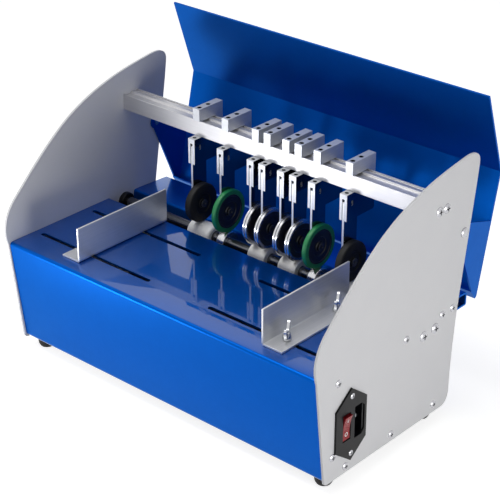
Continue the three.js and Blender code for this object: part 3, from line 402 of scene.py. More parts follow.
@dataclass(frozen=True)
class Finish:
    """One surface finish, and how its material is made.

    Attributes:
        name: The material's name.
        slot: The name of a material slot; not used.
        colour: Its main colour.
        accent: The colour that the pattern blends in.
        pattern: What breaks up the surface.
        metallic: How far it is a metal.
        roughness: Its middle roughness.
        spread: How far the pattern changes the roughness.
        depth: How deep the pattern is, in millimetres.
        stretch: How fine the pattern is along x, y and z.
        wear: How far the outer edges are painted lighter, as a painted highlight.
        specular: The shader's specular level.
        glancing: How strong the coat is at a glancing angle.
        glaze_start: How glancing the angle is where the coat sets in.
        rim_tint: The colour of the shine towards the rim.
        centre: The point of the machine that the pattern runs round.
    """

    name: str
    slot: str
    colour: Colour
    accent: Colour
    pattern: Pattern = Pattern.GRAINED
    metallic: float = 0.0
    roughness: float = 0.4
    spread: float = 0.1
    depth: float = 0.02
    stretch: Triple = (300.0, 300.0, 300.0)
    wear: float = 0.3
    specular: float = 0.5
    glancing: float = 0.0
    glaze_start: float = 0.57
    rim_tint: Colour = (1.0, 1.0, 1.0)
    centre: Triple = (0.0, 0.0, 0.0)

    def build(self, effects: EffectShelf, datum: Datum) -> bpy.types.Material:
        """Makes the material.

        Args:
            effects: The shared node groups.
            datum: The machine's zero point, from which centre is counted.

        Returns:
            The material.
        """
        material = bpy.data.materials.new(self.name)
        material.use_nodes = True
        sheet = NodeSheet(material.node_tree)
        shader = material.node_tree.nodes["Principled BSDF"]
        shader.inputs["Metallic"].default_value = self.metallic
        shader.inputs["Specular IOR Level"].default_value = self.specular
        shader.inputs["Specular Tint"].default_value = (*self.rim_tint, 1.0)
        if self.glancing > 0:
            self._glaze(sheet, shader)
        place = sheet.add("ShaderNodeTexCoord")
        centred = sheet.add(
            "ShaderNodeMapping",
            {"Vector": place.outputs["Object"], "Location": datum.at(*self.centre)},
            vector_type="TEXTURE",
        )
        vector = centred.outputs["Vector"]
        grain = self._grain(sheet, effects, vector)
        cloud = sheet.mask(effects.mottle, {"Vector": vector, "Stretch": MOTTLE_STRETCH})
        share = sheet.math(
            "ADD",
            sheet.math("MULTIPLY", grain, GRAIN_SHARE),
            sheet.math("MULTIPLY", cloud, 1 - GRAIN_SHARE),
        )
        tint = sheet.mix(share, self.colour, self.accent)
        # Painted highlight: the outer edges are mixed towards a lighter colour.
        highlighted_edges = sheet.mask(effects.wear, {"Vector": vector, "Amount": self.wear})
        lighter = [EDGE_HIGHLIGHT_LIFT + (1 - EDGE_HIGHLIGHT_LIFT) * channel for channel in self.colour]
        sheet.join(sheet.mix(highlighted_edges, tint, lighter), shader.inputs["Base Color"])
        rough = sheet.add(
            "ShaderNodeMapRange",
            {
                "Value": share,
                "To Min": self.roughness - self.spread / 2,
                "To Max": self.roughness + self.spread / 2,
            },
        )
        sheet.join(rough.outputs[0], shader.inputs["Roughness"])
        bump = sheet.add(
            "ShaderNodeBump", {"Height": grain, "Strength": 1.0, "Distance": self.depth * MM}
        )
        sheet.join(bump.outputs[0], shader.inputs["Normal"])
        return material

    def _glaze(self, sheet: NodeSheet, shader: bpy.types.Node) -> None:
        """Gives a gloss paint its mirror shine where it is seen at a glancing angle.

        Args:
            sheet: The material's nodes.
            shader: Its shader.
        """
        shader.inputs["Coat Roughness"].default_value = GLAZE_ROUGHNESS
        shader.inputs["Coat IOR"].default_value = GLAZE_IOR
        facing = sheet.add("ShaderNodeLayerWeight", {"Blend": 0.5})
        rise = sheet.add(
            "ShaderNodeMapRange",
            {
                "Value": facing.outputs["Facing"],
                "From Min": self.glaze_start,
                "From Max": self.glaze_start + GLAZE_RISE,
                "To Min": 0.0,
                "To Max": self.glancing,
            },
            interpolation_type="SMOOTHSTEP",
        )
        sheet.join(rise.outputs[0], shader.inputs["Coat Weight"])

    def _grain(
        self, sheet: NodeSheet, effects: EffectShelf, vector: bpy.types.NodeSocket
    ) -> bpy.types.NodeSocket:
        """The mask of the finish's pattern.

        Args:
            sheet: The material's nodes.
            effects: The shared node groups.
            vector: The place on the piece.

        Returns:
            The mask's socket.
        """
        if self.pattern is Pattern.TURNED:
            return sheet.mask(effects.rings, {"Vector": vector, "Fineness": self.stretch[0]})
        if self.pattern is Pattern.KNURLED:
            return self._knurls(sheet, vector)
        return sheet.mask(effects.streaks, {"Vector": vector, "Stretch": self.stretch})

    @staticmethod
    def _knurls(sheet: NodeSheet, vector: bpy.types.NodeSocket) -> bpy.types.NodeSocket:
        """The crossed ridges of a knurled collar.

        Args:
            sheet: The material's nodes.
            vector: The place on the piece.

        Returns:
            The mask's socket.
        """
        parts = sheet.add("ShaderNodeSeparateXYZ", {"Vector": vector})
        turn = sheet.math("ARCTAN2", parts.outputs["Y"], parts.outputs["Z"])
        along = sheet.math("MULTIPLY", parts.outputs["X"], KNURLS_ALONG)
        around = sheet.math("MULTIPLY", turn, KNURLS_ROUND)
        rising = sheet.math("SINE", sheet.math("ADD", along, around))
        falling = sheet.math("SINE", sheet.math("SUBTRACT", along, around))
        return sheet.math("MULTIPLY_ADD", sheet.math("ADD", rising, falling), 0.25, 0.5)


def even(fineness: float) -> Triple:
    """The stretch of a pattern that is as fine along every axis."""
    return fineness, fineness, fineness


# The stretch of brush marks, coarse along the way in which the piece was brushed.
BRUSHED_BAR = (14.0, 1500.0, 1500.0)
BRUSHED_BLOCK = (900.0, 60.0, 900.0)
BRUSHED_GUIDE = (1400.0, 16.0, 1400.0)
BRUSHED_ARM = (900.0, 900.0, 40.0)


class Look(Enum):
    """The finishes of the machine's pieces."""

    PANEL = Finish(
        "Panel grey paint", "panel_paint", paint(214, 214, 216), paint(210, 210, 213),
        roughness=0.45, depth=0.01, stretch=even(900.0), wear=0.0)
    BLUE = Finish(
        "Blue gloss paint", "blue_paint", paint(2, 84, 178), paint(1, 80, 172),
        metallic=0.75, roughness=0.34, spread=0.03, depth=0.0003, stretch=even(180.0), wear=0.0,
        specular=0.05, glancing=1.0, rim_tint=(0.6, 0.85, 1.0))
    LID = replace(BLUE, name="Blue lid paint", glancing=0.1, glaze_start=0.46)
    TABLE = replace(BLUE, name="Blue table paint", glaze_start=0.38)
    BAR = Finish(
        "Brushed bar aluminium", "aluminium", paint(209, 208, 209), paint(195, 195, 198),
        metallic=0.85, roughness=0.38, stretch=BRUSHED_BAR, wear=0.0)
    BLOCK = Finish(
        "Milled block aluminium", "aluminium", paint(212, 214, 218), paint(192, 195, 201),
        metallic=0.6, depth=0.006, stretch=BRUSHED_BLOCK, wear=0.0)
    # Painted shade: the carriers' side faces under the fork top, the arms' sides and the guide
    # pins get this darker colour. Their mirror-smooth metal also reflects the dark inside of the
    # machine.
    CHEEK = Finish(
        "Smooth cheek aluminium", "aluminium", paint(150, 152, 158), paint(132, 135, 142),
        metallic=1.0, roughness=0.14, spread=0.04, depth=0.001, stretch=BRUSHED_BLOCK,
        wear=0.0, specular=0.2)
    GUIDE = Finish(
        "Rolled guide aluminium", "aluminium", paint(236, 236, 236), paint(216, 218, 221),
        metallic=0.7, roughness=0.36, depth=0.01, stretch=BRUSHED_GUIDE, wear=0.0)
    ARM = Finish(
        "Ground arm steel", "steel", paint(238, 239, 240), paint(222, 223, 226),
        metallic=0.5, roughness=0.3, depth=0.002, stretch=BRUSHED_ARM, wear=0.0)
    RIM = Finish(
        "Turned rim steel", "steel", paint(226, 227, 229), paint(205, 206, 210),
        metallic=0.95, roughness=0.22, depth=0.01, stretch=(2600.0, 40.0, 40.0))
    SHAFT = Finish(
        "Ground shaft steel", "steel", paint(100, 102, 108), paint(82, 84, 90),
        metallic=0.95, roughness=0.24, depth=0.003, stretch=(2600.0, 60.0, 60.0))
    COLLAR = Finish(
        "Knurled collar steel", "steel", paint(240, 238, 234), paint(204, 204, 204),
        Pattern.KNURLED, metallic=0.35, depth=0.12, centre=(0.0, SHAFT_Y, SHAFT_Z))
    CHROME = Finish(
        "Chrome plating", "chrome", paint(206, 207, 210), paint(184, 186, 190),
        metallic=1.0, roughness=0.12, spread=0.06, depth=0.005)
    SCREW = Finish(
        "Zinc screw steel", "steel", paint(200, 200, 204), paint(170, 171, 176),
        metallic=0.9, roughness=0.25, depth=0.01)
    DARK = Finish(
        "Dark coated steel", "dark_steel", paint(58, 60, 66), paint(44, 46, 52),
        metallic=0.5, roughness=0.45)
    # Painted shade: the crosses of the screw heads get this shineless black in place of the shade
    # in their recesses. The grub screws are black steel, darkened and without shine as painted
    # shade of their holes.
    RECESS = Finish(
        "Oiled black steel", "dark_steel", paint(14, 14, 16), paint(8, 8, 10),
        roughness=0.85, depth=0.01, wear=0.0, specular=0.0)
    RUBBER = Finish(
        "Black rubber", "rubber", paint(14, 14, 15), paint(9, 9, 10),
        roughness=0.62, depth=0.03, stretch=even(700.0), wear=0.1, specular=0.3)
    TYRE = Finish(
        "Green rubber tyre", "green_tyre", paint(30, 146, 84), paint(20, 120, 66),
        roughness=0.42, stretch=even(700.0), wear=0.1)
    HUB = Finish(
        "Black hub plastic", "hub_plastic", paint(34, 35, 38), paint(24, 25, 27),
        Pattern.TURNED, stretch=(1800.0, 0.0, 0.0), wear=0.2)
    ROLLER = Finish(
        "White roller plastic", "white_roller", paint(238, 238, 236), paint(226, 226, 226),
        roughness=0.45, stretch=even(400.0), wear=0.1)
    PLASTIC = Finish(
        "Black moulded plastic", "black_plastic", paint(18, 18, 20), paint(11, 11, 13),
        roughness=0.35, depth=0.01, stretch=even(900.0), wear=0.0, specular=0.2)
    ROCKER = Finish(
        "Red rocker plastic", "red_plastic", paint(142, 14, 26), paint(128, 10, 20),
        roughness=0.28, depth=0.003, wear=0.0, specular=0.3)
    MARK = Finish(
        "White marking ink", "white_roller", paint(226, 226, 226), paint(212, 212, 212),
        roughness=0.5, depth=0.0, wear=0.0)


class Repeater:
    """A Geometry Nodes tree that puts one small piece on many spots."""

    def __init__(self) -> None:
        """Builds the tree, with named inputs for the piece, its size and its finish."""
        tree = bpy.data.node_groups.new("Repeat on spots", "GeometryNodeTree")
        for title, kind in (
            ("Geometry", "NodeSocketGeometry"),
            ("Piece", "NodeSocketObject"),
            ("Piece size", "NodeSocketFloat"),
            ("Finish", "NodeSocketMaterial"),
        ):
            tree.interface.new_socket(title, in_out="INPUT", socket_type=kind)
        tree.interface.new_socket("Geometry", in_out="OUTPUT", socket_type="NodeSocketGeometry")
        sheet = NodeSheet(tree)
        entry = sheet.add("NodeGroupInput")
        leave = sheet.add("NodeGroupOutput")
        piece = sheet.add("GeometryNodeObjectInfo", {"Object": entry.outputs["Piece"]})
        named = "GeometryNodeInputNamedAttribute"
        turn = sheet.add(named, {"Name": "turn"}, data_type="FLOAT_VECTOR")
        size = sheet.add(named, {"Name": "size"}, data_type="FLOAT")
        scale = sheet.math("MULTIPLY", size.outputs["Attribute"], entry.outputs["Piece size"])
        copies = sheet.add(
            "GeometryNodeInstanceOnPoints",
            {
                "Points": entry.outputs["Geometry"],
                "Instance": piece.outputs["Geometry"],
                "Rotation": turn.outputs["Attribute"],
                "Scale": scale,
            },
        )
        real = sheet.add(
            "GeometryNodeRealizeInstances", {"Geometry": copies.outputs["Instances"]}
        )
        dressed = sheet.add(
            "GeometryNodeSetMaterial",
            {"Geometry": real.outputs["Geometry"], "Material": entry.outputs["Finish"]},
        )
        sheet.join(dressed.outputs["Geometry"], leave.inputs["Geometry"])
        self.tree = tree
        self.sockets = {
            item.name: item.identifier
            for item in tree.interface.items_tree
            if item.in_out == "INPUT"
        }

    def spread(
        self,
        template: bmesh.types.BMesh,
        spots: Sequence[Spot],
        material: bpy.types.Material,
    ) -> bpy.types.Mesh:
        """Puts the template on every spot.

        Args:
            template: The small piece, in millimetres round its own zero; it is used up.
            spots: Place in the row frame, turn in radians and size of each copy.
            material: The finish of the copies.

        Returns:
            One plain mesh with all the copies.
        """
        bmesh.ops.scale(template, vec=(MM, MM, MM), verts=template.verts)
        small = bpy.data.meshes.new("template")
        template.to_mesh(small)
        template.free()
        small.shade_smooth()
        small.set_sharp_from_angle(angle=math.radians(SMOOTH_DEGREES))
        points = bpy.data.meshes.new("spots")
        points.from_pydata([place for place, _, _ in spots], [], [])
        turns = points.attributes.new("turn", "FLOAT_VECTOR", "POINT")
        turns.data.foreach_set("vector", [angle for _, turn, _ in spots for angle in turn])
        sizes = points.attributes.new("size", "FLOAT", "POINT")
        sizes.data.foreach_set("value", [size for _, _, size in spots])
        piece = bpy.data.objects.new("template", small)
        holder = bpy.data.objects.new("spots", points)
        for made in (piece, holder):
            bpy.context.scene.collection.objects.link(made)
        modifier = holder.modifiers.new("Repeat", "NODES")
        modifier.node_group = self.tree
        modifier[self.sockets["Piece"]] = piece
        modifier[self.sockets["Piece size"]] = 1.0
        modifier[self.sockets["Finish"]] = material
        graph = bpy.context.evaluated_depsgraph_get()
        mesh = bpy.data.meshes.new_from_object(holder.evaluated_get(graph))
        holder.modifiers.remove(modifier)
        for made in (piece, holder):
            bpy.data.objects.remove(made)
        return mesh


def turned(
    profile: Outline,
    centre: Triple = (0.0, 0.0, 0.0),
    axis: Axis = Axis.X,
    steps: int = 72,
    closed: bool = False,
) -> bmesh.types.BMesh:
    """Makes a solid of revolution.

    Args:
        profile: Pairs of distance along the axis and radius.
        centre: Where the axis starts.
        axis: Which way it runs.
        steps: Facets round it.
        closed: Whether the profile's end joins its start, as on a ring.

    Returns:
        The mesh, in millimetres.
    """
    bm = bmesh.new()
    turns = [2 * math.pi * k / steps for k in range(steps)]
    rings: list[list[bmesh.types.BMVert]] = []
    for along, radius in profile:
        if radius <= 0:
            spots = [axis.place(along, 0.0, 0.0)]
        else:
            spots = [axis.place(along, radius * math.cos(t), radius * math.sin(t)) for t in turns]
        rings.append([bm.verts.new(Vector(centre) + Vector(spot)) for spot in spots])
    pairs = list(zip(rings, rings[1:]))
    if closed:
        pairs.append((rings[-1], rings[0]))
    for low, high in pairs:
        for this in range(steps):
            after = (this + 1) % steps
            corners = [
                low[this % len(low)],
                low[after % len(low)],
                high[after % len(high)],
                high[this % len(high)],
            ]
            unique = list(dict.fromkeys(corners))
            if len(unique) > 2:
                bm.faces.new(unique)
    bmesh.ops.recalc_face_normals(bm, faces=bm.faces)
    return bm


def prism(outline: Outline, low: float, high: float, axis: Axis = Axis.X) -> bmesh.types.BMesh:
    """Pulls a closed outline out along an axis.

    Args:
        outline: Points across the axis.
        low: Where it starts.
        high: Where it ends.
        axis: Which way it runs.

    Returns:
        The mesh, in millimetres.
    """
    bm = bmesh.new()
    ends = [[bm.verts.new(axis.place(level, u, v)) for u, v in outline] for level in (low, high)]
    count = len(outline)
    for this in range(count):
        after = (this + 1) % count
        bm.faces.new([ends[0][this], ends[0][after], ends[1][after], ends[1][this]])
    for ring in ends:
        bm.faces.new(ring)
    bmesh.ops.recalc_face_normals(bm, faces=bm.faces)
    return bm


def oblong(left: float, right: float, low: float, high: float) -> list[Pair]:
    """A rectangle as an outline."""
    return [(left, low), (right, low), (right, high), (left, high)]


def upright_slot(u: float, low: float, high: float, radius: float, steps: int = 8) -> list[Pair]:
    """A slot with round ends that stands upright.

    Args:
        u: Where its middle line lies.
        low: Centre of its lower end.
        high: Centre of its upper end.
        radius: Half its width.
        steps: Facets of each end.

    Returns:
        The outline.
    """
    turns = [math.pi * k / steps for k in range(steps + 1)]
    upper = [(u + radius * math.cos(t), high + radius * math.sin(t)) for t in turns]
    lower = [(u - radius * math.cos(t), low - radius * math.sin(t)) for t in turns]
    return upper + lower


def cad_copy(node: str, datum: Datum) -> bmesh.types.BMesh:
    """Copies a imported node, with its loose triangles merged into clean faces.

    Args:
        node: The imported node.
        datum: The machine's zero point.

    Returns:
        The mesh, in millimetres of the machine's own frame.
    """
    bm = bmesh.new()
    bm.from_mesh(bpy.data.objects[node].data)
    bmesh.ops.remove_doubles(bm, verts=bm.verts, dist=WELD_METRES)
    bmesh.ops.transform(bm, matrix=datum.matrix().inverted(), verts=bm.verts)
    flat = math.radians(FLAT_DEGREES)
    bmesh.ops.dissolve_limit(bm, angle_limit=flat, verts=bm.verts, edges=bm.edges)
    return bm


def merged(parts: Sequence[bmesh.types.BMesh]) -> bmesh.types.BMesh:
    """Puts several meshes into one.

    Args:
        parts: The meshes; they are used up.

    Returns:
        The whole.
    """
    whole = bmesh.new()
    for part in parts:
        mesh = bpy.data.meshes.new("part")
        part.to_mesh(mesh)
        part.free()
        whole.from_mesh(mesh)
        bpy.data.meshes.remove(mesh)
    return whole


def carve(base: bmesh.types.BMesh, cutters: Sequence[bmesh.types.BMesh]) -> bmesh.types.BMesh:
    """Cuts hollows into a solid.

    Args:
        base: The solid; it is used up.
        cutters: The solids to take away; they are used up.

    Returns:
        What is left.
    """
    objects = []
    for bm in (base, *cutters):
        mesh = bpy.data.meshes.new("carve")
        bm.to_mesh(mesh)
        bm.free()
        made = bpy.data.objects.new("carve", mesh)
        bpy.context.scene.collection.objects.link(made)
        objects.append(made)
    for cutter in objects[1:]:
        modifier = objects[0].modifiers.new("Cut", "BOOLEAN")
        modifier.operation = "DIFFERENCE"
        modifier.solver = "EXACT"
        modifier.object = cutter
    graph = bpy.context.evaluated_depsgraph_get()
    mesh = bpy.data.meshes.new_from_object(objects[0].evaluated_get(graph))
    for made in objects:
        bpy.data.objects.remove(made)
    left = bmesh.new()
    left.from_mesh(mesh)
    bpy.data.meshes.remove(mesh)
    bmesh.ops.remove_doubles(left, verts=left.verts, dist=WELD_MILLIMETRES)
    return left


@dataclass
class Bench:
    """Where pieces are finished: the datum, the materials and the repeating tree."""

    datum: Datum
    effects: EffectShelf = field(default_factory=EffectShelf)
    repeater: Repeater = field(default_factory=Repeater)
    materials: dict[Look, bpy.types.Material] = field(default_factory=dict)

    def material(self, look: Look) -> bpy.types.Material:
        """The material of a finish, made the first time it is asked for.

        Args:
            look: The finish.

        Returns:
            Its material.
        """
        if look not in self.materials:
            self.materials[look] = look.value.build(self.effects, self.datum)
        return self.materials[look]

    def piece(
        self,
        name: str,
        bm: bmesh.types.BMesh,
        look: Look,
        body: str,
        replaces: Sequence[str] = (),
        bevel: float = 0.0,
        smooth: float = SMOOTH_DEGREES,
    ) -> bpy.types.Object:
        """Turns a mesh into a finished piece of the machine.

        Args:
            name: The piece's name.
            bm: Its mesh in millimetres; it is used up.
            look: Its finish.
            body: The body that it moves with.
            replaces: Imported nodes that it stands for.
            bevel: Width of the softened edges, in millimetres.
            smooth: Faces that meet at less than this many degrees look smooth.

        Returns:
            The piece.
        """
        bmesh.ops.transform(bm, matrix=self.datum.matrix(), verts=bm.verts)
        mesh = bpy.data.meshes.new(name)
        bm.to_mesh(mesh)
        bm.free()
        made = self._hang(name, mesh, look, body, smooth)
        if bevel > 0:
            self._soften(made, bevel, smooth)
        if replaces:
            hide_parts(*replaces)
        return made

    def cad_piece(
        self, node: str, name: str, look: Look, body: str, bevel: float
    ) -> bpy.types.Object:
        """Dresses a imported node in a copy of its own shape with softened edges.

        Args:
            node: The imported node.
            name: The piece's name.
            look: Its finish.
            body: The body that it moves with.
            bevel: Width of the softened edges, in millimetres.

        Returns:
            The piece.
        """
        return self.piece(name, cad_copy(node, self.datum), look, body, [node], bevel)

    def scatter(
        self, name: str, template: bmesh.types.BMesh, spots: Sequence[Spot], look: Look, body: str
    ) -> bpy.types.Object:
        """Repeats a small piece on many spots of one body.

        Args:
            name: The piece's name.
            template: The small piece; it is used up.
            spots: Place, turn and size of each copy.
            look: Their finish.
            body: The body that they move with.

        Returns:
            One piece with all the copies.
        """
        mesh = self.repeater.spread(template, spots, self.material(look))
        return self._hang(name, mesh, look, body, SMOOTH_DEGREES)

    def dress_faces(
        self, made: bpy.types.Object, look: Look, axis: Axis, below: float = math.inf
    ) -> None:
        """Gives the faces that look along an axis, up to a height, a finish of their own.

        Args:
            made: The piece.
            look: The finish of those faces.
            axis: Which way they look.
            below: The height in millimetres under which they lie.
        """
        made.data.materials.append(self.material(look))
        limit = self.datum.at(0.0, 0.0, below).z
        way = Vector(axis.place(1.0, 0.0, 0.0))
        for face in made.data.polygons:
            if abs(face.normal.dot(way)) > SQUARE_ON and face.center.z < limit:
                face.material_index = 1

    def _hang(
        self, name: str, mesh: bpy.types.Mesh, look: Look, body: str, smooth: float
    ) -> bpy.types.Object:
        """Shades a mesh, gives it its finish and hangs it on its body.

        Args:
            name: The piece's name.
            mesh: Its mesh in the row frame.
            look: Its finish.
            body: The body that it moves with.
            smooth: Faces that meet at less than this many degrees look smooth.

        Returns:
            The piece.
        """
        mesh.shade_smooth()
        mesh.set_sharp_from_angle(angle=math.radians(smooth))
        mesh.materials.clear()
        mesh.materials.append(self.material(look))
        made = bpy.data.objects.new(name, mesh)
        bpy.context.scene.collection.objects.link(made)
        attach(made, body)
        LOG.info("piece %s on %s", name, body)
        return made

    @staticmethod
    def _soften(made: bpy.types.Object, width: float, smooth: float) -> None:
        """Rounds the edges of a piece.

        Args:
            made: The piece.
            width: How wide the rounding is, in millimetres.
            smooth: Only edges sharper than this many degrees are rounded.
        """
        soften = made.modifiers.new("Soften", "BEVEL")
        soften.width = width * MM
        soften.segments = 2
        soften.limit_method = "ANGLE"
        soften.angle_limit = math.radians(smooth)
        soften.harden_normals = True
        soften.use_clamp_overlap = True


@dataclass(frozen=True)
class CrossScrew:
    """A domed screw head that points up, with a dark cross in it that is painted shade of its
    recess.

    Attributes:
        radius: The head's radius.
        height: The head's height.
        cross_reach: How far each arm of the cross reaches.
        cross_slim: Half an arm's width, as a share of its reach.
        cross_height: How high the cross stands over the head's foot.
    """

    radius: float = 3.0
    height: float = 1.25
    cross_reach: float = 1.4
    cross_slim: float = 0.22
    cross_height: float = 1.28

    def head(self) -> bmesh.types.BMesh:
        """The domed head.

        Returns:
            The mesh, in millimetres.
        """
        radius, height = self.radius, self.height
        profile = [
            (0.0, 0.0), (0.0, radius), (height * 0.25, radius), (height * 0.6, radius * 0.86),
            (height * 0.85, radius * 0.6), (height, radius * 0.3), (height, 0.0)]
        return turned(profile, axis=Axis.Z, steps=24)

    def cross(self) -> bmesh.types.BMesh:
        """The dark cross, a piece that stands for the shade of the cross recess.

        Returns:
            The mesh, in millimetres.
        """
        far, near = self.cross_reach, self.cross_reach * self.cross_slim
        outline = [
            (near, near), (far, near), (far, -near), (near, -near), (near, -far), (-near, -far),
            (-near, -near), (-far, -near), (-far, near), (-near, near), (-near, far), (near, far)]
        return prism(outline, self.cross_height * 0.5, self.cross_height, Axis.Z)

    def fasten(self, bench: Bench, name: str, spots: Sequence[Spot]) -> None:
        """Puts screws on spots of the frame.

        Args:
            bench: Where they are finished.
            name: What one screw is called.
            spots: Where they sit.
        """
        bench.scatter(f"{name}s", self.head(), spots, Look.SCREW, "frame")
        # Painted shade: the cross is dark to stand for the shade of the recess.
        bench.scatter(f"{name}_crosses", self.cross(), spots, Look.RECESS, "frame")


@dataclass
class Enclosure:
    """Side panels, covers, base, feet and the screws that hold them.

    Attributes:
        width: From the left panel's outer face to the right one's.
        foot_radius: Radius of a rubber foot.
        foot_height: Height of a rubber foot.
        feet: The x and y of each foot, by its corner.
        screws: The y, z and size of each screw of a panel.
    """

    width: float = MACHINE_WIDTH
    foot_radius: float = 9.0
    foot_height: float = 11.0
    feet: Sequence[tuple[str, Pair]] = (
        ("front_left", (15.0, 33.0)), ("front_right", (385.0, 33.0)),
        ("rear_left", (15.0, 180.0)), ("rear_right", (385.0, 180.0)))
    screws: Sequence[Triple] = (
        (170.5, 215.5, 1.6), (182.0, 215.0, 1.6), (129.5, 101.5, 1.3), (156.0, 93.5, 1.75),
        (173.7, 94.5, 1.75), (184.7, 104.5, 1.3), (201.0, 105.0, 1.3), (31.3, 100.5, 1.3),
        (25.5, 26.0, 1.3), (44.2, 7.5, 1.3), (111.8, 8.0, 1.3), (177.9, 9.5, 1.3))

    def build(self, bench: Bench) -> None:
        """Makes every piece of the enclosure.

        Args:
            bench: Where the pieces are finished.
        """
        self.sheets(bench)
        self.rubber_feet(bench)
        self.fasteners(bench)

    def sheets(self, bench: Bench) -> None:
        """Panels and covers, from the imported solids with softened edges.

        Args:
            bench: Where the pieces are finished.
        """
        for side in ("left", "right"):
            node, name = f"side_panel_{side}", f"panel_{side}"
            bench.cad_piece(node, name, Look.PANEL, "frame", bevel=0.7)
        for node in ("table_cover", "rear_deck", "rear_cover"):
            sheet = bench.cad_piece(node, f"{node}_sheet", Look.BLUE, "frame", bevel=0.35)
            bench.dress_faces(sheet, Look.TABLE, Axis.Z)
        bench.cad_piece("base_plate", "base_tray", Look.DARK, "frame", bevel=0.3)

    def rubber_feet(self, bench: Bench) -> None:
        """Four turned rubber feet.

        Args:
            bench: Where the pieces are finished.
        """
        radius, height = self.foot_radius, self.foot_height
        profile = [
            (0.0, 0.0), (0.0, radius * 0.74), (0.6, radius * 0.8), (height * 0.25, radius * 0.94),
            (height * 0.5, radius), (height - 0.8, radius), (height, radius * 0.92), (height, 0.0)]
        for corner, (x, y) in self.feet:
            bm = turned(profile, (x, y, -height), Axis.Z, 48)
            bench.piece(f"rubber_foot_{corner}", bm, Look.RUBBER, "frame", [f"foot_{corner}"])

    def fasteners(self, bench: Bench) -> None:
        """The screws of both panels.

        Args:
            bench: Where the pieces are finished.
        """
        spots = [
            (bench.datum.at(x, y, z), facing.value, size)
            for x, facing in ((self.width, Facing.RIGHT), (0.0, Facing.LEFT))
            for y, z, size in self.screws
        ]
        CrossScrew().fasten(bench, "panel_screw", spots)


@dataclass
class Lid:
    """The bent lid and the two screws on which it turns.

    Attributes:
        width: From one side panel's outer face to the other's.
        pivot: The y and z on which it turns.
        pivot_screw: Profile of a pivot screw, from the panel's outer face outwards.
        cross_seat: How far outside that face the cross starts.
        fold: The y and z of the fold.
        foot: The y and z of the lower edge.
        foot_zone: How far before and above that edge its corners lie.
        longer: How much longer than the solid the lower wing is.
        bend: How wide the fold's rounding is.
        fold_zone: How far from the fold its edges lie.
        fold_length: The least length of an edge of the fold.
    """

    width: float = MACHINE_WIDTH
    pivot: Pair = (212.0, 179.5)
    pivot_screw: Outline = (
        (-5.9, 0.0), (-5.9, 3.0), (0.3, 3.0), (0.3, 5.0), (1.0, 5.0), (1.9, 4.0), (2.3, 2.25),
        (2.3, 0.0))
    cross_seat: float = 0.62
    fold: Pair = (272.3, 219.9)
    foot: Pair = (247.0, 108.0)
    foot_zone: Pair = (6.0, 3.0)
    longer: float = 11.0
    bend: float = 3.0
    fold_zone: float = 3.0
    fold_length: float = 50.0

    def build(self, bench: Bench) -> None:
        """Makes the lid and its pivot screws.

        Args:
            bench: Where the pieces are finished.
        """
        sheet = cad_copy("lid", bench.datum)
        self.lengthen(sheet)
        self.round_fold(sheet)
        bench.piece("lid_sheet", sheet, Look.LID, "lid", ["lid"], bevel=0.8, smooth=20.0)
        y, z = self.pivot
        for side, x, way, facing in (
            ("left", 0.0, -1.0, Facing.LEFT),
            ("right", self.width, 1.0, Facing.RIGHT),
        ):
            profile = [(way * along, radius) for along, radius in self.pivot_screw]
            bm = turned(profile, (x, y, z), steps=32)
            bench.piece(f"pivot_screw_{side}", bm, Look.SCREW, "frame", [f"lid_pivot_{side}"])
            spot = (bench.datum.at(x + way * self.cross_seat, y, z), facing.value, 1.0)
            cross = CrossScrew().cross()
            # Painted shade: the cross is dark to stand for the shade of the recess.
            bench.scatter(f"pivot_cross_{side}", cross, [spot], Look.RECESS, "frame")

    def lengthen(self, sheet: bmesh.types.BMesh) -> None:
        """Moves the lower edge further down, along the lower wing.

        Args:
            sheet: The lid's mesh in millimetres.
        """
        (fold_y, fold_z), (foot_y, foot_z) = self.fold, self.foot
        before, above = self.foot_zone
        reach = math.hypot(fold_y - foot_y, fold_z - foot_z)
        for vert in sheet.verts:
            if vert.co.z < foot_z + above and vert.co.y > foot_y - before:
                vert.co.y -= self.longer * (fold_y - foot_y) / reach
                vert.co.z -= self.longer * (fold_z - foot_z) / reach

    def round_fold(self, sheet: bmesh.types.BMesh) -> None:
        """Gives the fold the radius that a press brake leaves.

        Args:
            sheet: The lid's mesh in millimetres.
        """
        fold_y, fold_z = self.fold
        edges = []
        for edge in sheet.edges:
            first, second = (vert.co for vert in edge.verts)
            near = all(
                math.hypot(spot.y - fold_y, spot.z - fold_z) < self.fold_zone
                for spot in (first, second)
            )
            if near and abs(first.x - second.x) > self.fold_length:
                edges.append(edge)
        LOG.info("fold edges rounded: %d", len(edges))
        bmesh.ops.bevel(
            sheet, geom=edges, offset=self.bend, offset_type="WIDTH", segments=5, profile=0.5,
            affect="EDGES", clamp_overlap=True)


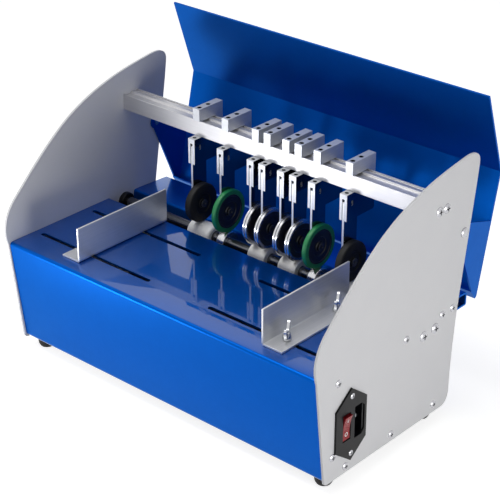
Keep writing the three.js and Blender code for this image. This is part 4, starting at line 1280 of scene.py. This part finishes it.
@dataclass
class ClampBar:
    """The grooved bar across the machine.

    Attributes:
        left: Where it starts, on the left panel.
        right: Where it ends, on the right panel.
        front: Its front face.
        depth: From its front to its back.
        bottom: Its lower face.
        height: How high it is.
        groove: How deep its two grooves are.
        lip: How thick its front and rear lips are.
        rib: How far behind the bar's middle the top of the rib between the grooves
            starts and ends.
    """

    left: float = 2.8
    right: float = 397.2
    front: float = BAR_FRONT
    depth: float = 22.0
    bottom: float = 207.2
    height: float = 16.5
    groove: float = 1.6
    lip: float = 2.0
    rib: Pair = (1.0, 6.0)

    def build(self, bench: Bench) -> None:
        """Makes the bar.

        Args:
            bench: Where the pieces are finished.
        """
        front, rear = self.front, self.front + self.depth
        bottom, top = self.bottom, self.bottom + self.height
        floor, middle = top - self.groove, front + self.depth / 2
        rib_front, rib_rear = middle + self.rib[0], middle + self.rib[1]
        outline = [
            (front, bottom), (rear, bottom), (rear, top), (rear - self.lip, top),
            (rear - self.lip, floor), (rib_rear, floor), (rib_rear, top), (rib_front, top),
            (middle, floor), (front + self.lip, floor), (front + self.lip, top), (front, top)]
        bm = prism(outline, self.left, self.right)
        bench.piece("grooved_bar", bm, Look.BAR, "frame", ["clamp_bar"], bevel=0.35)


@dataclass(frozen=True)
class WheelPart:
    """One turned part of a wheel.

    Attributes:
        name: The piece's name, with a gap for the wheel's number.
        look: Its finish.
        profile: Pairs of distance from the wheel's face beside the arm and radius.
        node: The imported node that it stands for, with the same gap, if any.
        bevel: Width of its softened edges.
        steps: Facets round it.
    """

    name: str
    look: Look
    profile: Outline
    node: str = ""
    bevel: float = 0.0
    steps: int = 96


@dataclass(frozen=True)
class Wheel:
    """One kind of wheel: its radius, its width and its parts."""

    radius: float
    width: float
    parts: Sequence[WheelPart]


class WheelKind(Enum):
    """The three kinds of wheel."""

    RUBBER = Wheel(20.6, 7.6, (
        WheelPart("wheel_{}_roll", Look.RUBBER, (
            (0.0, 2.9), (0.0, 19.2), (0.5, 20.1), (1.4, 20.6), (6.2, 20.6), (7.1, 20.1),
            (7.6, 19.2), (7.6, 11.0), (6.4, 9.8), (6.4, 5.4), (7.2, 4.8), (7.2, 2.9)),
            node="wheel_{}", bevel=0.2),))
    GREEN = Wheel(22.8, 5.2, (
        WheelPart("wheel_{}_hub", Look.HUB, (
            (0.0, 2.9), (0.0, 17.6), (5.2, 17.6), (5.2, 16.2), (4.5, 15.7), (4.5, 10.2),
            (3.6, 9.5), (3.6, 5.4), (4.7, 4.9), (4.7, 2.9)),
            node="wheel_{}", bevel=0.25, steps=72),
        WheelPart("tyre_{}_ring", Look.TYRE, (
            (0.0, 17.9), (0.0, 21.8), (0.5, 22.5), (1.2, 22.8), (4.0, 22.8), (4.7, 22.5),
            (5.2, 21.8), (5.2, 17.9)),
            node="tyre_{}")))
    STEEL = Wheel(21.6, 5.2, (
        WheelPart("wheel_{}_body", Look.HUB, (
            (0.15, 2.9), (0.15, 17.6), (5.05, 17.6), (5.05, 12.5), (3.9, 11.6), (3.9, 6.5),
            (4.8, 5.8), (4.8, 2.9)),
            node="wheel_{}", bevel=0.2, steps=72),
        WheelPart("wheel_{}_rim", Look.RIM, (
            (0.0, 17.7), (0.0, 20.2), (0.4, 20.6), (2.0, 20.6), (2.3, 21.6), (2.9, 21.6),
            (3.2, 20.6), (4.8, 20.6), (5.2, 20.2), (5.2, 17.7)))))


@dataclass
class Station:
    """One carrier with its arm, wheel, grub screws and guide pin.

    Attributes:
        number: Which one it is, from the left.
        x: Its middle.
        kind: Its wheel.
        width: The carrier's width.
        sides: The y of the carrier's front, its rear, its upper lip and the back of its
            mouth.
        chamfer: Size of the carrier's lower rear corner.
        fork_heights: Foot and top of the fork.
        lip_heights: Foot and top of the part over the bar.
        slot_half: Half the width of the arm's slot.
        slot_size: How deep and how high that slot is.
        pin: The y and z of the guide pin.
        pin_travel: How far the pin slides up.
        pin_slot: Half the width of the pin's slot.
        pin_end: Profile of each end of the pin, from its tip inwards.
        pin_short: How far inside the carrier's side the pin ends.
        grubs: The y of the two grub screws.
        grub_hole: Depth and radius of their holes.
        grub_seat: How far below the carrier's top they sit.
        spring: The y of the spring's screw.
        spring_bore: Radius of its hole.
        spring_seat: How far below the fork's top it sits.
        spring_size: Its size as a share of a grub screw's.
        nip: The height of the rollers' tops.
        play: The gap beside and under the wheel.
        arm_front: The y of the arm's front.
        arm_depth: How deep the arm is.
        arm_half: Half the arm's thickness.
        arm_rise: How far the arm reaches up into the fork.
        nose: Radius of the arm's round lower front.
        axle: Radius of the wheel's axle.
        axle_end: Profile of the axle's screw, from the wheel's outer face.
    """

    number: int
    x: float
    kind: WheelKind
    width: float = 8.6
    sides: tuple[float, float, float, float] = (156.5, 198.3, 164.0, 188.8)
    chamfer: float = 1.5
    fork_heights: Pair = (179.9, 206.9)
    lip_heights: Pair = (224.0, 237.0)
    slot_half: float = 1.45
    slot_size: Pair = (22.0, 22.0)
    pin: Pair = (164.3, 195.4)
    pin_travel: float = 3.0
    pin_slot: float = 1.3
    pin_end: Outline = ((0.0, 0.0), (0.0, 0.8), (0.2, 1.0))
    pin_short: float = 0.3
    grubs: Pair = (169.0, 181.5)
    grub_hole: Pair = (6.0, 2.5)
    grub_seat: float = 3.3
    spring: float = 161.5
    spring_bore: float = 2.1
    spring_seat: float = 2.8
    spring_size: float = 0.85
    nip: float = 116.0
    play: float = 0.4
    arm_front: float = 156.8
    arm_depth: float = 20.0
    arm_half: float = 1.2
    arm_rise: float = 18.7
    nose: float = 7.0
    axle: float = 2.5
    axle_end: Outline = ((0.0, 4.0), (0.9, 4.0), (1.2, 3.6), (1.2, 1.6), (0.5, 1.2), (0.5, 0.0))

    @property
    def hub(self) -> float:
        """Height of the wheel's axis."""
        return self.nip + self.play + self.kind.value.radius

    @property
    def flanks(self) -> Pair:
        """The x of the carrier's left and right side."""
        return self.x - self.width / 2, self.x + self.width / 2

    def build(self, bench: Bench) -> None:
        """Makes the station's pieces.

        Args:
            bench: Where the pieces are finished.
        """
        self.carrier(bench)
        self.arm(bench)
        self.wheel(bench)

    def carrier(self, bench: Bench) -> None:
        """The milled block with its fork and its grub screws.

        Args:
            bench: Where the pieces are finished.
        """
        name = f"carrier_{self.number}"
        fork_top, top = self.fork_heights[1], self.lip_heights[1]
        block = bench.piece(f"{name}_block", self.block(), Look.BLOCK, name, [name], bevel=0.4)
        # Painted shade: the block's side faces below the fork top get the darker side finish.
        bench.dress_faces(block, Look.CHEEK, Axis.X, below=fork_top)
        seats = [(y, top - self.grub_seat, 1.0) for y in self.grubs]
        seats.append((self.spring, fork_top - self.spring_seat, self.spring_size))
        spots = [(bench.datum.at(self.x, y, z), Facing.UP.value, size) for y, z, size in seats]
        # The grub screws are black steel, made shineless as painted shade of their holes.
        bench.scatter(f"{name}_grub_screws", self.grub_screw(), spots, Look.RECESS, name)

    def block(self) -> bmesh.types.BMesh:
        """The carrier's block, with the slots for arm and pin and the screw holes.

        Returns:
            The mesh, in millimetres.
        """
        front, rear, lip, back = self.sides
        (low, fork_top), (lip_low, top) = self.fork_heights, self.lip_heights
        left, right = self.flanks
        body = prism(
            [(front, low), (rear - self.chamfer, low), (rear, low + self.chamfer), (rear, top),
             (lip, top), (lip, lip_low), (back, lip_low), (back, fork_top), (front, fork_top)],
            left, right)
        over = 2.0
        slot_depth, slot_height = self.slot_size
        ceiling = low + slot_height
        arm_slot = prism(
            oblong(front - over, front + slot_depth, low - over, ceiling),
            self.x - self.slot_half, self.x + self.slot_half)
        pin_y, pin_z = self.pin
        pin_slot = prism(
            upright_slot(pin_y, pin_z, pin_z + self.pin_travel, self.pin_slot),
            self.x - self.width, self.x + self.width)
        depth, radius = self.grub_hole
        holes = [self.bore(y, top - depth, top + over, radius) for y in self.grubs]
        holes.append(self.bore(self.spring, ceiling - over, fork_top + over, self.spring_bore))
        bm = carve(body, [arm_slot, pin_slot, *holes])
        everything = [*bm.verts, *bm.edges, *bm.faces]
        cut = (0, 0, fork_top)
        bmesh.ops.bisect_plane(bm, geom=everything, plane_co=cut, plane_no=(0, 0, 1))
        return bm

    def bore(self, y: float, low: float, high: float, radius: float) -> bmesh.types.BMesh:
        """The solid of an upright screw hole.

        Args:
            y: Where it stands.
            low: Its floor.
            high: Its top.
            radius: Its radius.

        Returns:
            The mesh.
        """
        profile = [(low, 0.0), (low, radius), (high, radius), (high, 0.0)]
        return turned(profile, (self.x, y, 0.0), Axis.Z, 24)

    @staticmethod
    def grub_screw() -> bmesh.types.BMesh:
        """A grub screw with a hexagon socket.

        Returns:
            The mesh, in millimetres.
        """
        outer = [(0.0, 0.0), (0.0, 2.4), (2.6, 2.4), (3.0, 2.1), (3.0, 0.0)]
        inner = [(1.2, 0.0), (1.2, 0.9), (3.4, 0.9), (3.4, 0.0)]
        socket = turned(inner, axis=Axis.Z, steps=6)
        return carve(turned(outer, axis=Axis.Z, steps=24), [socket])

    def arm(self, bench: Bench) -> None:
        """The sliding plate with pin and axle.

        Args:
            bench: Where the pieces are finished.
        """
        name, hub, half, nose = f"arm_{self.number}", self.hub, self.arm_half, self.nose
        front, rear = self.arm_front, self.arm_front + self.arm_depth
        top = self.fork_heights[0] + self.arm_rise
        turns = [math.pi * (1 + 0.75 * k / 16) for k in range(17)]
        outline = [
            (front, top),
            *((front + nose + nose * math.cos(t), hub + nose * math.sin(t)) for t in turns),
            (rear, hub + nose),
            (rear, top),
        ]
        bm = prism(outline, self.x - half, self.x + half)
        plate = bench.piece(f"{name}_plate", bm, Look.ARM, name, [name], bevel=0.25)
        # Painted shade: the plate's side faces get the darker side finish.
        bench.dress_faces(plate, Look.CHEEK, Axis.X)
        end = self.width / 2 - self.pin_short
        pin = [(along - end, radius) for along, radius in self.pin_end]
        pin += [(end - along, radius) for along, radius in reversed(self.pin_end)]
        bm = turned(pin, (self.x, *self.pin), steps=24)
        # Painted shade: the pin gets the darker side finish of the carrier's shaded sides.
        bench.piece(f"{name}_guide_pin", bm, Look.CHEEK, name)
        reach = 2 * self.play + self.kind.value.width
        axle = [(0.0, 0.0), (0.0, self.axle), (reach, self.axle)]
        axle += [(reach + along, radius) for along, radius in self.axle_end]
        bm = turned(axle, (self.x + half, SHAFT_Y, hub), steps=40)
        bench.piece(f"{name}_axle", bm, Look.DARK, name)

    def wheel(self, bench: Bench) -> None:
        """The wheel beside the arm.

        Args:
            bench: Where the pieces are finished.
        """
        centre = (self.x + self.arm_half + self.play, SHAFT_Y, self.hub)
        for part in self.kind.value.parts:
            bm = turned(part.profile, centre, steps=part.steps, closed=True)
            nodes = [part.node.format(self.number)] if part.node else []
            name, body = part.name.format(self.number), f"wheel_{self.number}"
            bench.piece(name, bm, part.look, body, nodes, part.bevel)


@dataclass(frozen=True)
class Roller:
    """One roller or collar on the drive shaft.

    Attributes:
        node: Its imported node.
        x: Its left face.
        width: How long it is.
        rounding: Radius of its rounded ends.
        look: Its finish.
    """

    node: str
    x: float
    width: float
    rounding: float
    look: Look

    def profile(self, bore: float, outer: float) -> list[Pair]:
        """Its profile, from its left face on.

        Args:
            bore: Radius of its hole.
            outer: Its own radius.

        Returns:
            The profile.
        """
        curve, flank = self.rounding, outer - self.rounding
        turns = [math.pi / 2 * k / 6 for k in range(7)]
        left = [(curve - curve * math.cos(t), flank + curve * math.sin(t)) for t in turns]
        right = [
            (self.width - curve + curve * math.sin(t), flank + curve * math.cos(t)) for t in turns
        ]
        return [(0.0, bore), *left, *right, (self.width, bore)]


@dataclass
class Drive:
    """The driven shaft with all that turns on it, its bearings and its motor.

    Attributes:
        shaft_ends: Where the shaft starts and ends.
        shaft_end: Profile of each end of the shaft, from its tip inwards.
        bearing_seats: The inner faces of the panels.
        bearing: Profile of a bearing, from the panel inwards.
        rollers: Rollers and collars.
        roller_radius: Their radius.
        roller_bore: Radius of their holes.
        motor_parts: Node, body and finish of what is hidden in the housing.
    """

    shaft_ends: Pair = (5.3, 394.7)
    shaft_end: Outline = ((0.0, 0.0), (0.0, 4.6), (0.4, 5.0), (6.0, 5.0), (6.0, 5.7), (6.3, 6.0))
    bearing_seats: Pair = (2.8, 397.2)
    bearing: Outline = (
        (0.0, 0.0), (0.0, 9.5), (4.2, 9.5), (5.0, 8.7), (5.0, 5.3), (2.0, 5.3), (2.0, 0.0))
    rollers: Sequence[Roller] = (
        Roller("feed_roller_left", 103.2, 30.0, 3.0, Look.ROLLER),
        Roller("feed_roller_right", 297.0, 30.0, 3.0, Look.ROLLER),
        Roller("narrow_collar_left", 144.3, 9.5, 1.0, Look.RIM),
        Roller("narrow_collar_right", 263.0, 9.5, 1.0, Look.RIM),
        Roller("wide_collar_left", 186.1, 22.0, 1.0, Look.COLLAR),
        Roller("wide_collar_right", 225.5, 22.0, 1.0, Look.COLLAR))
    roller_radius: float = 12.0
    roller_bore: float = 6.3
    motor_parts: Sequence[tuple[str, str, Look]] = (
        ("driven_gear", "roller_shaft", Look.SHAFT),
        ("motor_pinion", "motor_output", Look.DARK),
        ("gear_motor", "frame", Look.DARK))

    def build(self, bench: Bench) -> None:
        """Makes the drive's pieces.

        Args:
            bench: Where the pieces are finished.
        """
        start, end = self.shaft_ends
        profile = [(start + along, radius) for along, radius in self.shaft_end]
        profile += [(end - along, radius) for along, radius in reversed(self.shaft_end)]
        bm = turned(profile, (0.0, SHAFT_Y, SHAFT_Z), steps=48)
        bench.piece("shaft_rod", bm, Look.SHAFT, "roller_shaft", ["drive_shaft"])
        for side, x, way in zip(("left", "right"), self.bearing_seats, (1.0, -1.0)):
            profile = [(way * along, radius) for along, radius in self.bearing]
            bm = turned(profile, (x, SHAFT_Y, SHAFT_Z), steps=48)
            bench.piece(f"bearing_{side}", bm, Look.PLASTIC, "frame", [f"shaft_bearing_{side}"])
        for roller in self.rollers:
            profile = roller.profile(self.roller_bore, self.roller_radius)
            bm = turned(profile, (roller.x, SHAFT_Y, SHAFT_Z), closed=True)
            name, node = f"{roller.node}_body", roller.node
            bench.piece(name, bm, roller.look, "roller_shaft", [node])
        for node, body, look in self.motor_parts:
            bench.cad_piece(node, f"{node}_body", look, body, bevel=0.15)


@dataclass
class SideGuide:
    """One angle strip with its two wing screws.

    Attributes:
        side: Which side it is on.
        screw_x: The x of its wing screws.
        slots: The y of each wing screw.
        seat: Height of the strip's foot, on which the screws sit.
        hub: Profile of a wing screw's hub, from the seat up.
        wing: Outline of a wing, from the screw's axis and the seat.
        wing_half: Half the thickness of a wing.
        wing_turn: How far the wings are turned, in radians.
        shank: Radius of a wing screw's shank.
        nut: How far below the seat the nut's foot and top lie.
        nut_radius: From the nut's middle to its corners.
    """

    side: str
    screw_x: float
    slots: Sequence[tuple[str, float]] = (("front", 38.0), ("rear", 108.5))
    seat: float = 117.1
    hub: Outline = (
        (0.0, 0.0), (0.0, 4.2), (2.6, 4.2), (5.0, 3.5), (7.0, 2.9), (7.4, 2.2), (7.4, 0.0))
    wing: Outline = (
        (1.8, 1.7), (4.6, 2.0), (7.2, 3.6), (9.6, 7.2), (11.0, 11.2), (10.9, 13.8),
        (9.6, 15.0), (7.9, 14.8), (6.4, 13.6), (4.6, 11.4), (3.0, 9.6), (1.4, 8.6))
    wing_half: float = 1.4
    wing_turn: float = math.radians(-60)
    shank: float = 2.0
    nut: Pair = (8.4, 4.9)
    nut_radius: float = 4.5

    def build(self, bench: Bench) -> None:
        """Makes the guide and its screws.

        Args:
            bench: Where the pieces are finished.
        """
        node = f"guide_{self.side}"
        bench.cad_piece(node, f"{node}_strip", Look.GUIDE, node, bevel=0.25)
        for place, y in self.slots:
            name = f"wing_screw_{self.side}_{place}"
            bm = self.wing_screw(y)
            bench.piece(f"{name}_body", bm, Look.CHROME, name, [name], bevel=0.3)

    def wing_screw(self, y: float) -> bmesh.types.BMesh:
        """A cast wing screw with its shank and nut.

        Args:
            y: Where it stands.

        Returns:
            The mesh.
        """
        x, seat = self.screw_x, self.seat
        low, top = (seat - depth for depth in self.nut)
        shank = [(low, 0.0), (low, self.shank), (seat + 1, self.shank), (seat + 1, 0.0)]
        nut = [(low, 0.0), (low, self.nut_radius), (top, self.nut_radius), (top, 0.0)]
        parts = [
            turned(self.hub, (x, y, seat), Axis.Z, 32),
            turned(shank, (x, y, 0.0), Axis.Z, 24),
            turned(nut, (x, y, 0.0), Axis.Z, 6),
        ]
        turn = Matrix.Translation((x, y, 0.0)) @ Matrix.Rotation(self.wing_turn, 4, "Z")
        for way in (-1.0, 1.0):
            outline = [(way * across, seat + above) for across, above in self.wing]
            wing = prism(outline, -self.wing_half, self.wing_half, Axis.Y)
            bmesh.ops.transform(wing, matrix=turn, verts=wing.verts)
            parts.append(wing)
        return merged(parts)


@dataclass
class PowerInlet:
    """The hexagonal inlet plate with socket, blades, screws and rocker switch.

    Attributes:
        face: The x of the plate's outer face.
        y: The plate's middle from the front.
        z: The plate's middle above the panel's foot.
        half_width: Half the plate's width.
        half_side: Half the height of its upright sides.
        half_height: From its middle to its tips.
        half_body: Half the width and height of the body behind it.
        depths: How far behind the face the plate, the body, the socket and the switch's
            well end.
        screw_reach: From the middle to each screw.
        socket_y: The socket's middle.
        socket_half: Half the socket's width and height.
        socket_chamfer: Size of its two cut corners.
        blades: How far each blade lies from the socket's middle.
        blade_half: Half a blade's width and height.
        blade_depths: How far behind the face a blade starts and ends.
        rocker_y: The rocker's middle.
        rocker_half: Half the rocker's width and height.
        rocker_gap: How much wider and higher the well is, on each side.
        rocker_proud: How far the rocker's middle stands out.
        rocker_root: How far behind its axis the rocker ends.
        rocker_tilt: How far it is tipped, in radians.
        mark_level: How far above and below its middle the marks are.
        mark_depth: How thick a mark is, and how far it is sunk into the rocker.
        line_half: Half the line's width and height.
        ring_radii: The ring's inner and outer radius.
    """

    face: float = 402.3
    y: float = 49.0
    z: float = 50.5
    half_width: float = 21.5
    half_side: float = 21.5
    half_height: float = 38.0
    half_body: float = 20.0
    depths: tuple[float, float, float, float] = (2.0, 22.0, 15.0, 11.0)
    screw_reach: float = 30.0
    socket_y: float = 60.5
    socket_half: Pair = (7.0, 16.5)
    socket_chamfer: float = 4.0
    blades: Sequence[Pair] = ((0.0, -8.5), (3.4, 0.0), (0.0, 8.5))
    blade_half: Pair = (1.0, 2.0)
    blade_depths: Pair = (16.0, 6.5)
    rocker_y: float = 42.5
    rocker_half: Pair = (5.0, 13.0)
    rocker_gap: Pair = (0.4, 1.0)
    rocker_proud: float = 1.3
    rocker_root: float = 7.0
    rocker_tilt: float = math.radians(7)
    mark_level: float = 7.4
    mark_depth: Pair = (0.25, 0.08)
    line_half: Pair = (0.5, 1.9)
    ring_radii: Pair = (1.35, 2.05)

    def build(self, bench: Bench) -> None:
        """Makes the inlet's pieces.

        Args:
            bench: Where the pieces are finished.
        """
        bench.piece(
            "inlet_housing", self.housing(), Look.PLASTIC, "frame", ["power_inlet"], bevel=0.5)
        self.contact_blades(bench)
        spots = [
            (bench.datum.at(self.face, self.y, self.z + reach), Facing.RIGHT.value, 0.95)
            for reach in (-self.screw_reach, self.screw_reach)
        ]
        CrossScrew().fasten(bench, "inlet_screw", spots)
        self.rocker(bench)

    def housing(self) -> bmesh.types.BMesh:
        """The moulded plate and body with the socket and the switch's well.

        Returns:
            The mesh, in millimetres.
        """
        y, z, face, over = self.y, self.z, self.face, 2.0
        wide, side, tip = self.half_width, self.half_side, self.half_height
        plate_depth, body_depth, socket_depth, well_depth = self.depths
        plate = prism(
            [(y - wide, z - side), (y, z - tip), (y + wide, z - side), (y + wide, z + side),
             (y, z + tip), (y - wide, z + side)],
            face - plate_depth, face)
        half = self.half_body
        overlap = 0.1
        body = prism(
            oblong(y - half, y + half, z - half, z + half),
            face - body_depth, face - plate_depth + overlap)
        middle, (deep, tall), cut = self.socket_y, self.socket_half, self.socket_chamfer
        socket = prism(
            [(middle - deep, z - tall), (middle + deep - cut, z - tall),
             (middle + deep, z - tall + cut), (middle + deep, z + tall - cut),
             (middle + deep - cut, z + tall), (middle - deep, z + tall)],
            face - socket_depth, face + over)
        middle = self.rocker_y
        deep, tall = (half + gap for half, gap in zip(self.rocker_half, self.rocker_gap))
        well = prism(
            oblong(middle - deep, middle + deep, z - tall, z + tall),
            face - well_depth, face + over)
        return carve(merged([plate, body]), [socket, well])

    def contact_blades(self, bench: Bench) -> None:
        """The three contact blades in the socket.

        Args:
            bench: Where the pieces are finished.
        """
        deep, tall = self.blade_half
        start, end = (self.face - depth for depth in self.blade_depths)
        for index, (aside, above) in enumerate(self.blades, 1):
            y, z = self.socket_y + aside, self.z + above
            bm = prism(oblong(y - deep, y + deep, z - tall, z + tall), start, end)
            bench.piece(f"contact_blade_{index}", bm, Look.CHROME, "frame", bevel=0.4)

    def rocker(self, bench: Bench) -> None:
        """The rocker with its two plain marks.

        Args:
            bench: Where the pieces are finished.
        """
        wide, top = self.rocker_half
        tilt, proud, root = self.rocker_tilt, self.rocker_proud, self.rocker_root
        steps = [level / 8 for level in range(-8, 9)]
        crown = [(proud - top * math.sin(tilt) * (1 - k * k), top * k) for k in steps]
        cap = prism([(-root, -0.9 * top), *crown, (-root, 0.9 * top)], -wide, wide, Axis.Y)
        hinge = Matrix.Translation((self.face, self.rocker_y, self.z))
        turn = hinge @ Matrix.Rotation(tilt, 4, "Y")
        bmesh.ops.transform(cap, matrix=turn, verts=cap.verts)
        bench.piece(
            "rocker_cap", cap, Look.ROCKER, "rocker", ["switch_rocker"], bevel=0.5, smooth=24.0)
        thick, sunk = self.mark_depth
        half_line, half_height = self.line_half
        line = prism(oblong(-half_line, half_line, -half_height, half_height), 0.0, thick)
        inner, outer = self.ring_radii
        ring = turned(oblong(0.0, thick, inner, outer), steps=32, closed=True)
        for name, bm, level in (
            ("mark_line", line, self.mark_level),
            ("mark_ring", ring, -self.mark_level),
        ):
            slope = 2 * level * math.sin(tilt) / top
            depth = proud - top * math.sin(tilt) * (1 - (level / top) ** 2)
            seat = Matrix.Translation((depth - sunk, 0, level))
            move = turn @ seat @ Matrix.Rotation(math.atan(slope), 4, "Y")
            bmesh.ops.transform(bm, matrix=move, verts=bm.verts)
            bench.piece(name, bm, Look.MARK, "rocker")


@dataclass(frozen=True)
class Lamp:
    """One square soft lamp; its places and size are in metres of the row frame."""

    name: str
    place: Triple
    aim: Triple
    size: float
    watts: float

    def build(self) -> None:
        """Hangs the lamp."""
        data = bpy.data.lights.new(self.name, "AREA")
        data.shape = "SQUARE"
        data.size = self.size
        data.energy = self.watts
        lamp = bpy.data.objects.new(self.name, data)
        bpy.context.scene.collection.objects.link(lamp)
        lamp.location = self.place
        lamp.rotation_mode = "QUATERNION"
        look = Vector(self.aim) - Vector(self.place)
        lamp.rotation_quaternion = look.to_track_quat("-Z", "Y")


@dataclass
class Studio:
    """Camera, lights, floor and world.

    Attributes:
        azimuth: How far right of the machine's front the camera stands, in degrees.
        elevation: How far the camera looks down, in degrees.
        focal_pixels: Its focal length, in pixels of the photograph.
        offset: Where the machine's zero lies from the camera: to its right, up and ahead.
        lamps: A low key from the left front, one for the right side and a weak one above.
        floor_reach: How far the floor goes on each side, in metres.
        floor_colour: What light the floor throws back.
        floor_glow: What it adds where the camera or a gloss sees it.
        sky_way: Where the world's light is strongest.
        sky_range: How squarely a direction points that way where the light starts and
            stops rising.
        sky_light: The least and the most light of the world.
    """

    azimuth: float = 41.5714
    elevation: float = 27.2839
    focal_pixels: float = 1651.561
    offset: Triple = (-243.236, -94.501, 1695.327)
    lamps: Sequence[Lamp] = (
        Lamp("key", (-0.28, -0.42, 0.04), (-0.04, -0.1, 0.05), 0.14, 1.0),
        Lamp("side", (1.15, -0.2, 0.1), (0.2, 0.05, 0.12), 0.4, 7.0),
        Lamp("top", (-0.25, -0.3, 1.4), (0.0, 0.0, 0.15), 0.7, 9.0))
    floor_reach: float = 6.0
    floor_colour: Colour = (0.6, 0.6, 0.6)
    floor_glow: float = 0.8
    sky_way: Triple = (-0.35, -0.85, 0.4)
    sky_range: Pair = (-0.1, 0.9)
    sky_light: Pair = (0.12, 0.35)

    def build(self, bench: Bench) -> None:
        """Sets the studio up.

        Args:
            bench: Gives the machine's zero point, from which the camera is placed.
        """
        self.camera(bench.datum)
        self.floor()
        for lamp in self.lamps:
            lamp.build()
        self.world()
        bpy.context.scene.view_settings.view_transform = "Standard"

    def camera(self, datum: Datum) -> None:
        """A camera at the photograph's viewing angle.

        Args:
            datum: The machine's zero point.
        """
        turn, rise = math.radians(self.azimuth), math.radians(self.elevation)
        level = math.cos(rise)
        look = Vector((-math.sin(turn) * level, math.cos(turn) * level, -math.sin(rise)))
        right = Vector((math.cos(turn), math.sin(turn), 0.0))
        up = right.cross(look)
        across, upward, away = self.offset
        eye = -(across * right + upward * up + away * look)
        data = bpy.data.cameras.new("camera")
        data.sensor_width = SENSOR_WIDTH
        data.lens = self.focal_pixels / PHOTO_PIXELS * SENSOR_WIDTH
        data.clip_start, data.clip_end = 0.05, 50.0
        camera = bpy.data.objects.new("camera", data)
        bpy.context.scene.collection.objects.link(camera)
        camera.rotation_mode = "QUATERNION"
        camera.rotation_quaternion = look.to_track_quat("-Z", "Y")
        camera.location = datum.at(*eye)
        bpy.context.scene.camera = camera

    def floor(self) -> None:
        """A plain pale floor that keeps the shadow."""
        reach = self.floor_reach
        corners = [(x, y, 0.0) for x, y in oblong(-reach, reach, -reach, reach)]
        mesh = bpy.data.meshes.new("floor")
        mesh.from_pydata(corners, [], [(0, 1, 2, 3)])
        material = bpy.data.materials.new("Pale floor")
        material.use_nodes = True
        material.node_tree.nodes.clear()
        sheet = NodeSheet(material.node_tree)
        matt = sheet.add("ShaderNodeBsdfDiffuse", {"Color": (*self.floor_colour, 1.0)})
        path = sheet.add("ShaderNodeLightPath")
        seen = sheet.math("ADD", path.outputs["Is Camera Ray"], path.outputs["Is Glossy Ray"])
        strength = sheet.math("MULTIPLY", seen, self.floor_glow)
        glow = sheet.add("ShaderNodeEmission", {"Strength": strength})
        both = sheet.add("ShaderNodeAddShader")
        sheet.join(matt.outputs[0], both.inputs[0])
        sheet.join(glow.outputs[0], both.inputs[1])
        sheet.add("ShaderNodeOutputMaterial", {"Surface": both.outputs[0]})
        mesh.materials.append(material)
        plane = bpy.data.objects.new("floor", mesh)
        bpy.context.scene.collection.objects.link(plane)

    def world(self) -> None:
        """A soft white world that looks plain white to the camera and in any gloss."""
        world = bpy.data.worlds.new("studio")
        bpy.context.scene.world = world
        world.use_nodes = True
        world.node_tree.nodes.clear()
        sheet = NodeSheet(world.node_tree)
        path = sheet.add("ShaderNodeLightPath").outputs
        mirrored = sheet.math("MAXIMUM", path["Is Glossy Ray"], path["Is Transmission Ray"])
        seen = sheet.math("MAXIMUM", path["Is Camera Ray"], mirrored)
        place = sheet.add("ShaderNodeTexCoord")
        facing = sheet.add("ShaderNodeVectorMath", operation="DOT_PRODUCT")
        sheet.join(place.outputs["Generated"], facing.inputs[0])
        sheet.feed(Vector(self.sky_way).normalized(), facing.inputs[1])
        (start, end), (least, most) = self.sky_range, self.sky_light
        soft = sheet.add(
            "ShaderNodeMapRange",
            {
                "Value": facing.outputs["Value"],
                "From Min": start,
                "From Max": end,
                "To Min": least,
                "To Max": most,
            },
            interpolation_type="SMOOTHSTEP",
        )
        level = sheet.add(
            "ShaderNodeMapRange", {"Value": seen, "To Min": soft.outputs[0], "To Max": 1.0}
        )
        back = sheet.add(
            "ShaderNodeBackground",
            {"Color": (1.0, 1.0, 1.0, 1.0), "Strength": level.outputs[0]},
        )
        sheet.add("ShaderNodeOutputWorld", {"Surface": back.outputs[0]})


@dataclass
class Machine:
    """The whole machine, built one sub-assembly after the other."""

    enclosure: Enclosure = field(default_factory=Enclosure)
    lid: Lid = field(default_factory=Lid)
    bar: ClampBar = field(default_factory=ClampBar)
    drive: Drive = field(default_factory=Drive)
    inlet: PowerInlet = field(default_factory=PowerInlet)
    guides: Sequence[SideGuide] = (SideGuide("left", 75.0), SideGuide("right", 335.5))
    stations: Sequence[Station] = (
        Station(1, 108.3, WheelKind.RUBBER), Station(2, 146.903, WheelKind.GREEN),
        Station(3, 186.298, WheelKind.STEEL), Station(4, 201.401, WheelKind.STEEL),
        Station(5, 224.994, WheelKind.STEEL), Station(6, 240.306, WheelKind.STEEL),
        Station(7, 263.5035, WheelKind.GREEN), Station(8, 301.89, WheelKind.RUBBER))

    def build(self, bench: Bench) -> None:
        """Builds every sub-assembly in order.

        Args:
            bench: Where the pieces are finished.
        """
        fixed = (self.enclosure, self.lid, self.bar, self.drive, self.inlet)
        for part in (*fixed, *self.guides, *self.stations):
            LOG.info("building %s", type(part).__name__)
            part.build(bench)


def corners(box: tuple[Vector, Vector]) -> list[list[float]]:
    """A box as plain lists of numbers."""
    return [list(box[0]), list(box[1])]


def main() -> None:
    """Loads the frame, dresses it and sets up the studio."""
    logging.basicConfig(level=logging.INFO, format="%(name)s: %(message)s")
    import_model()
    bench = Bench(Datum.from_frame(BAR_FRONT))
    Machine().build(bench)
    Studio().build(bench)


if __name__ == "__main__":
    main()
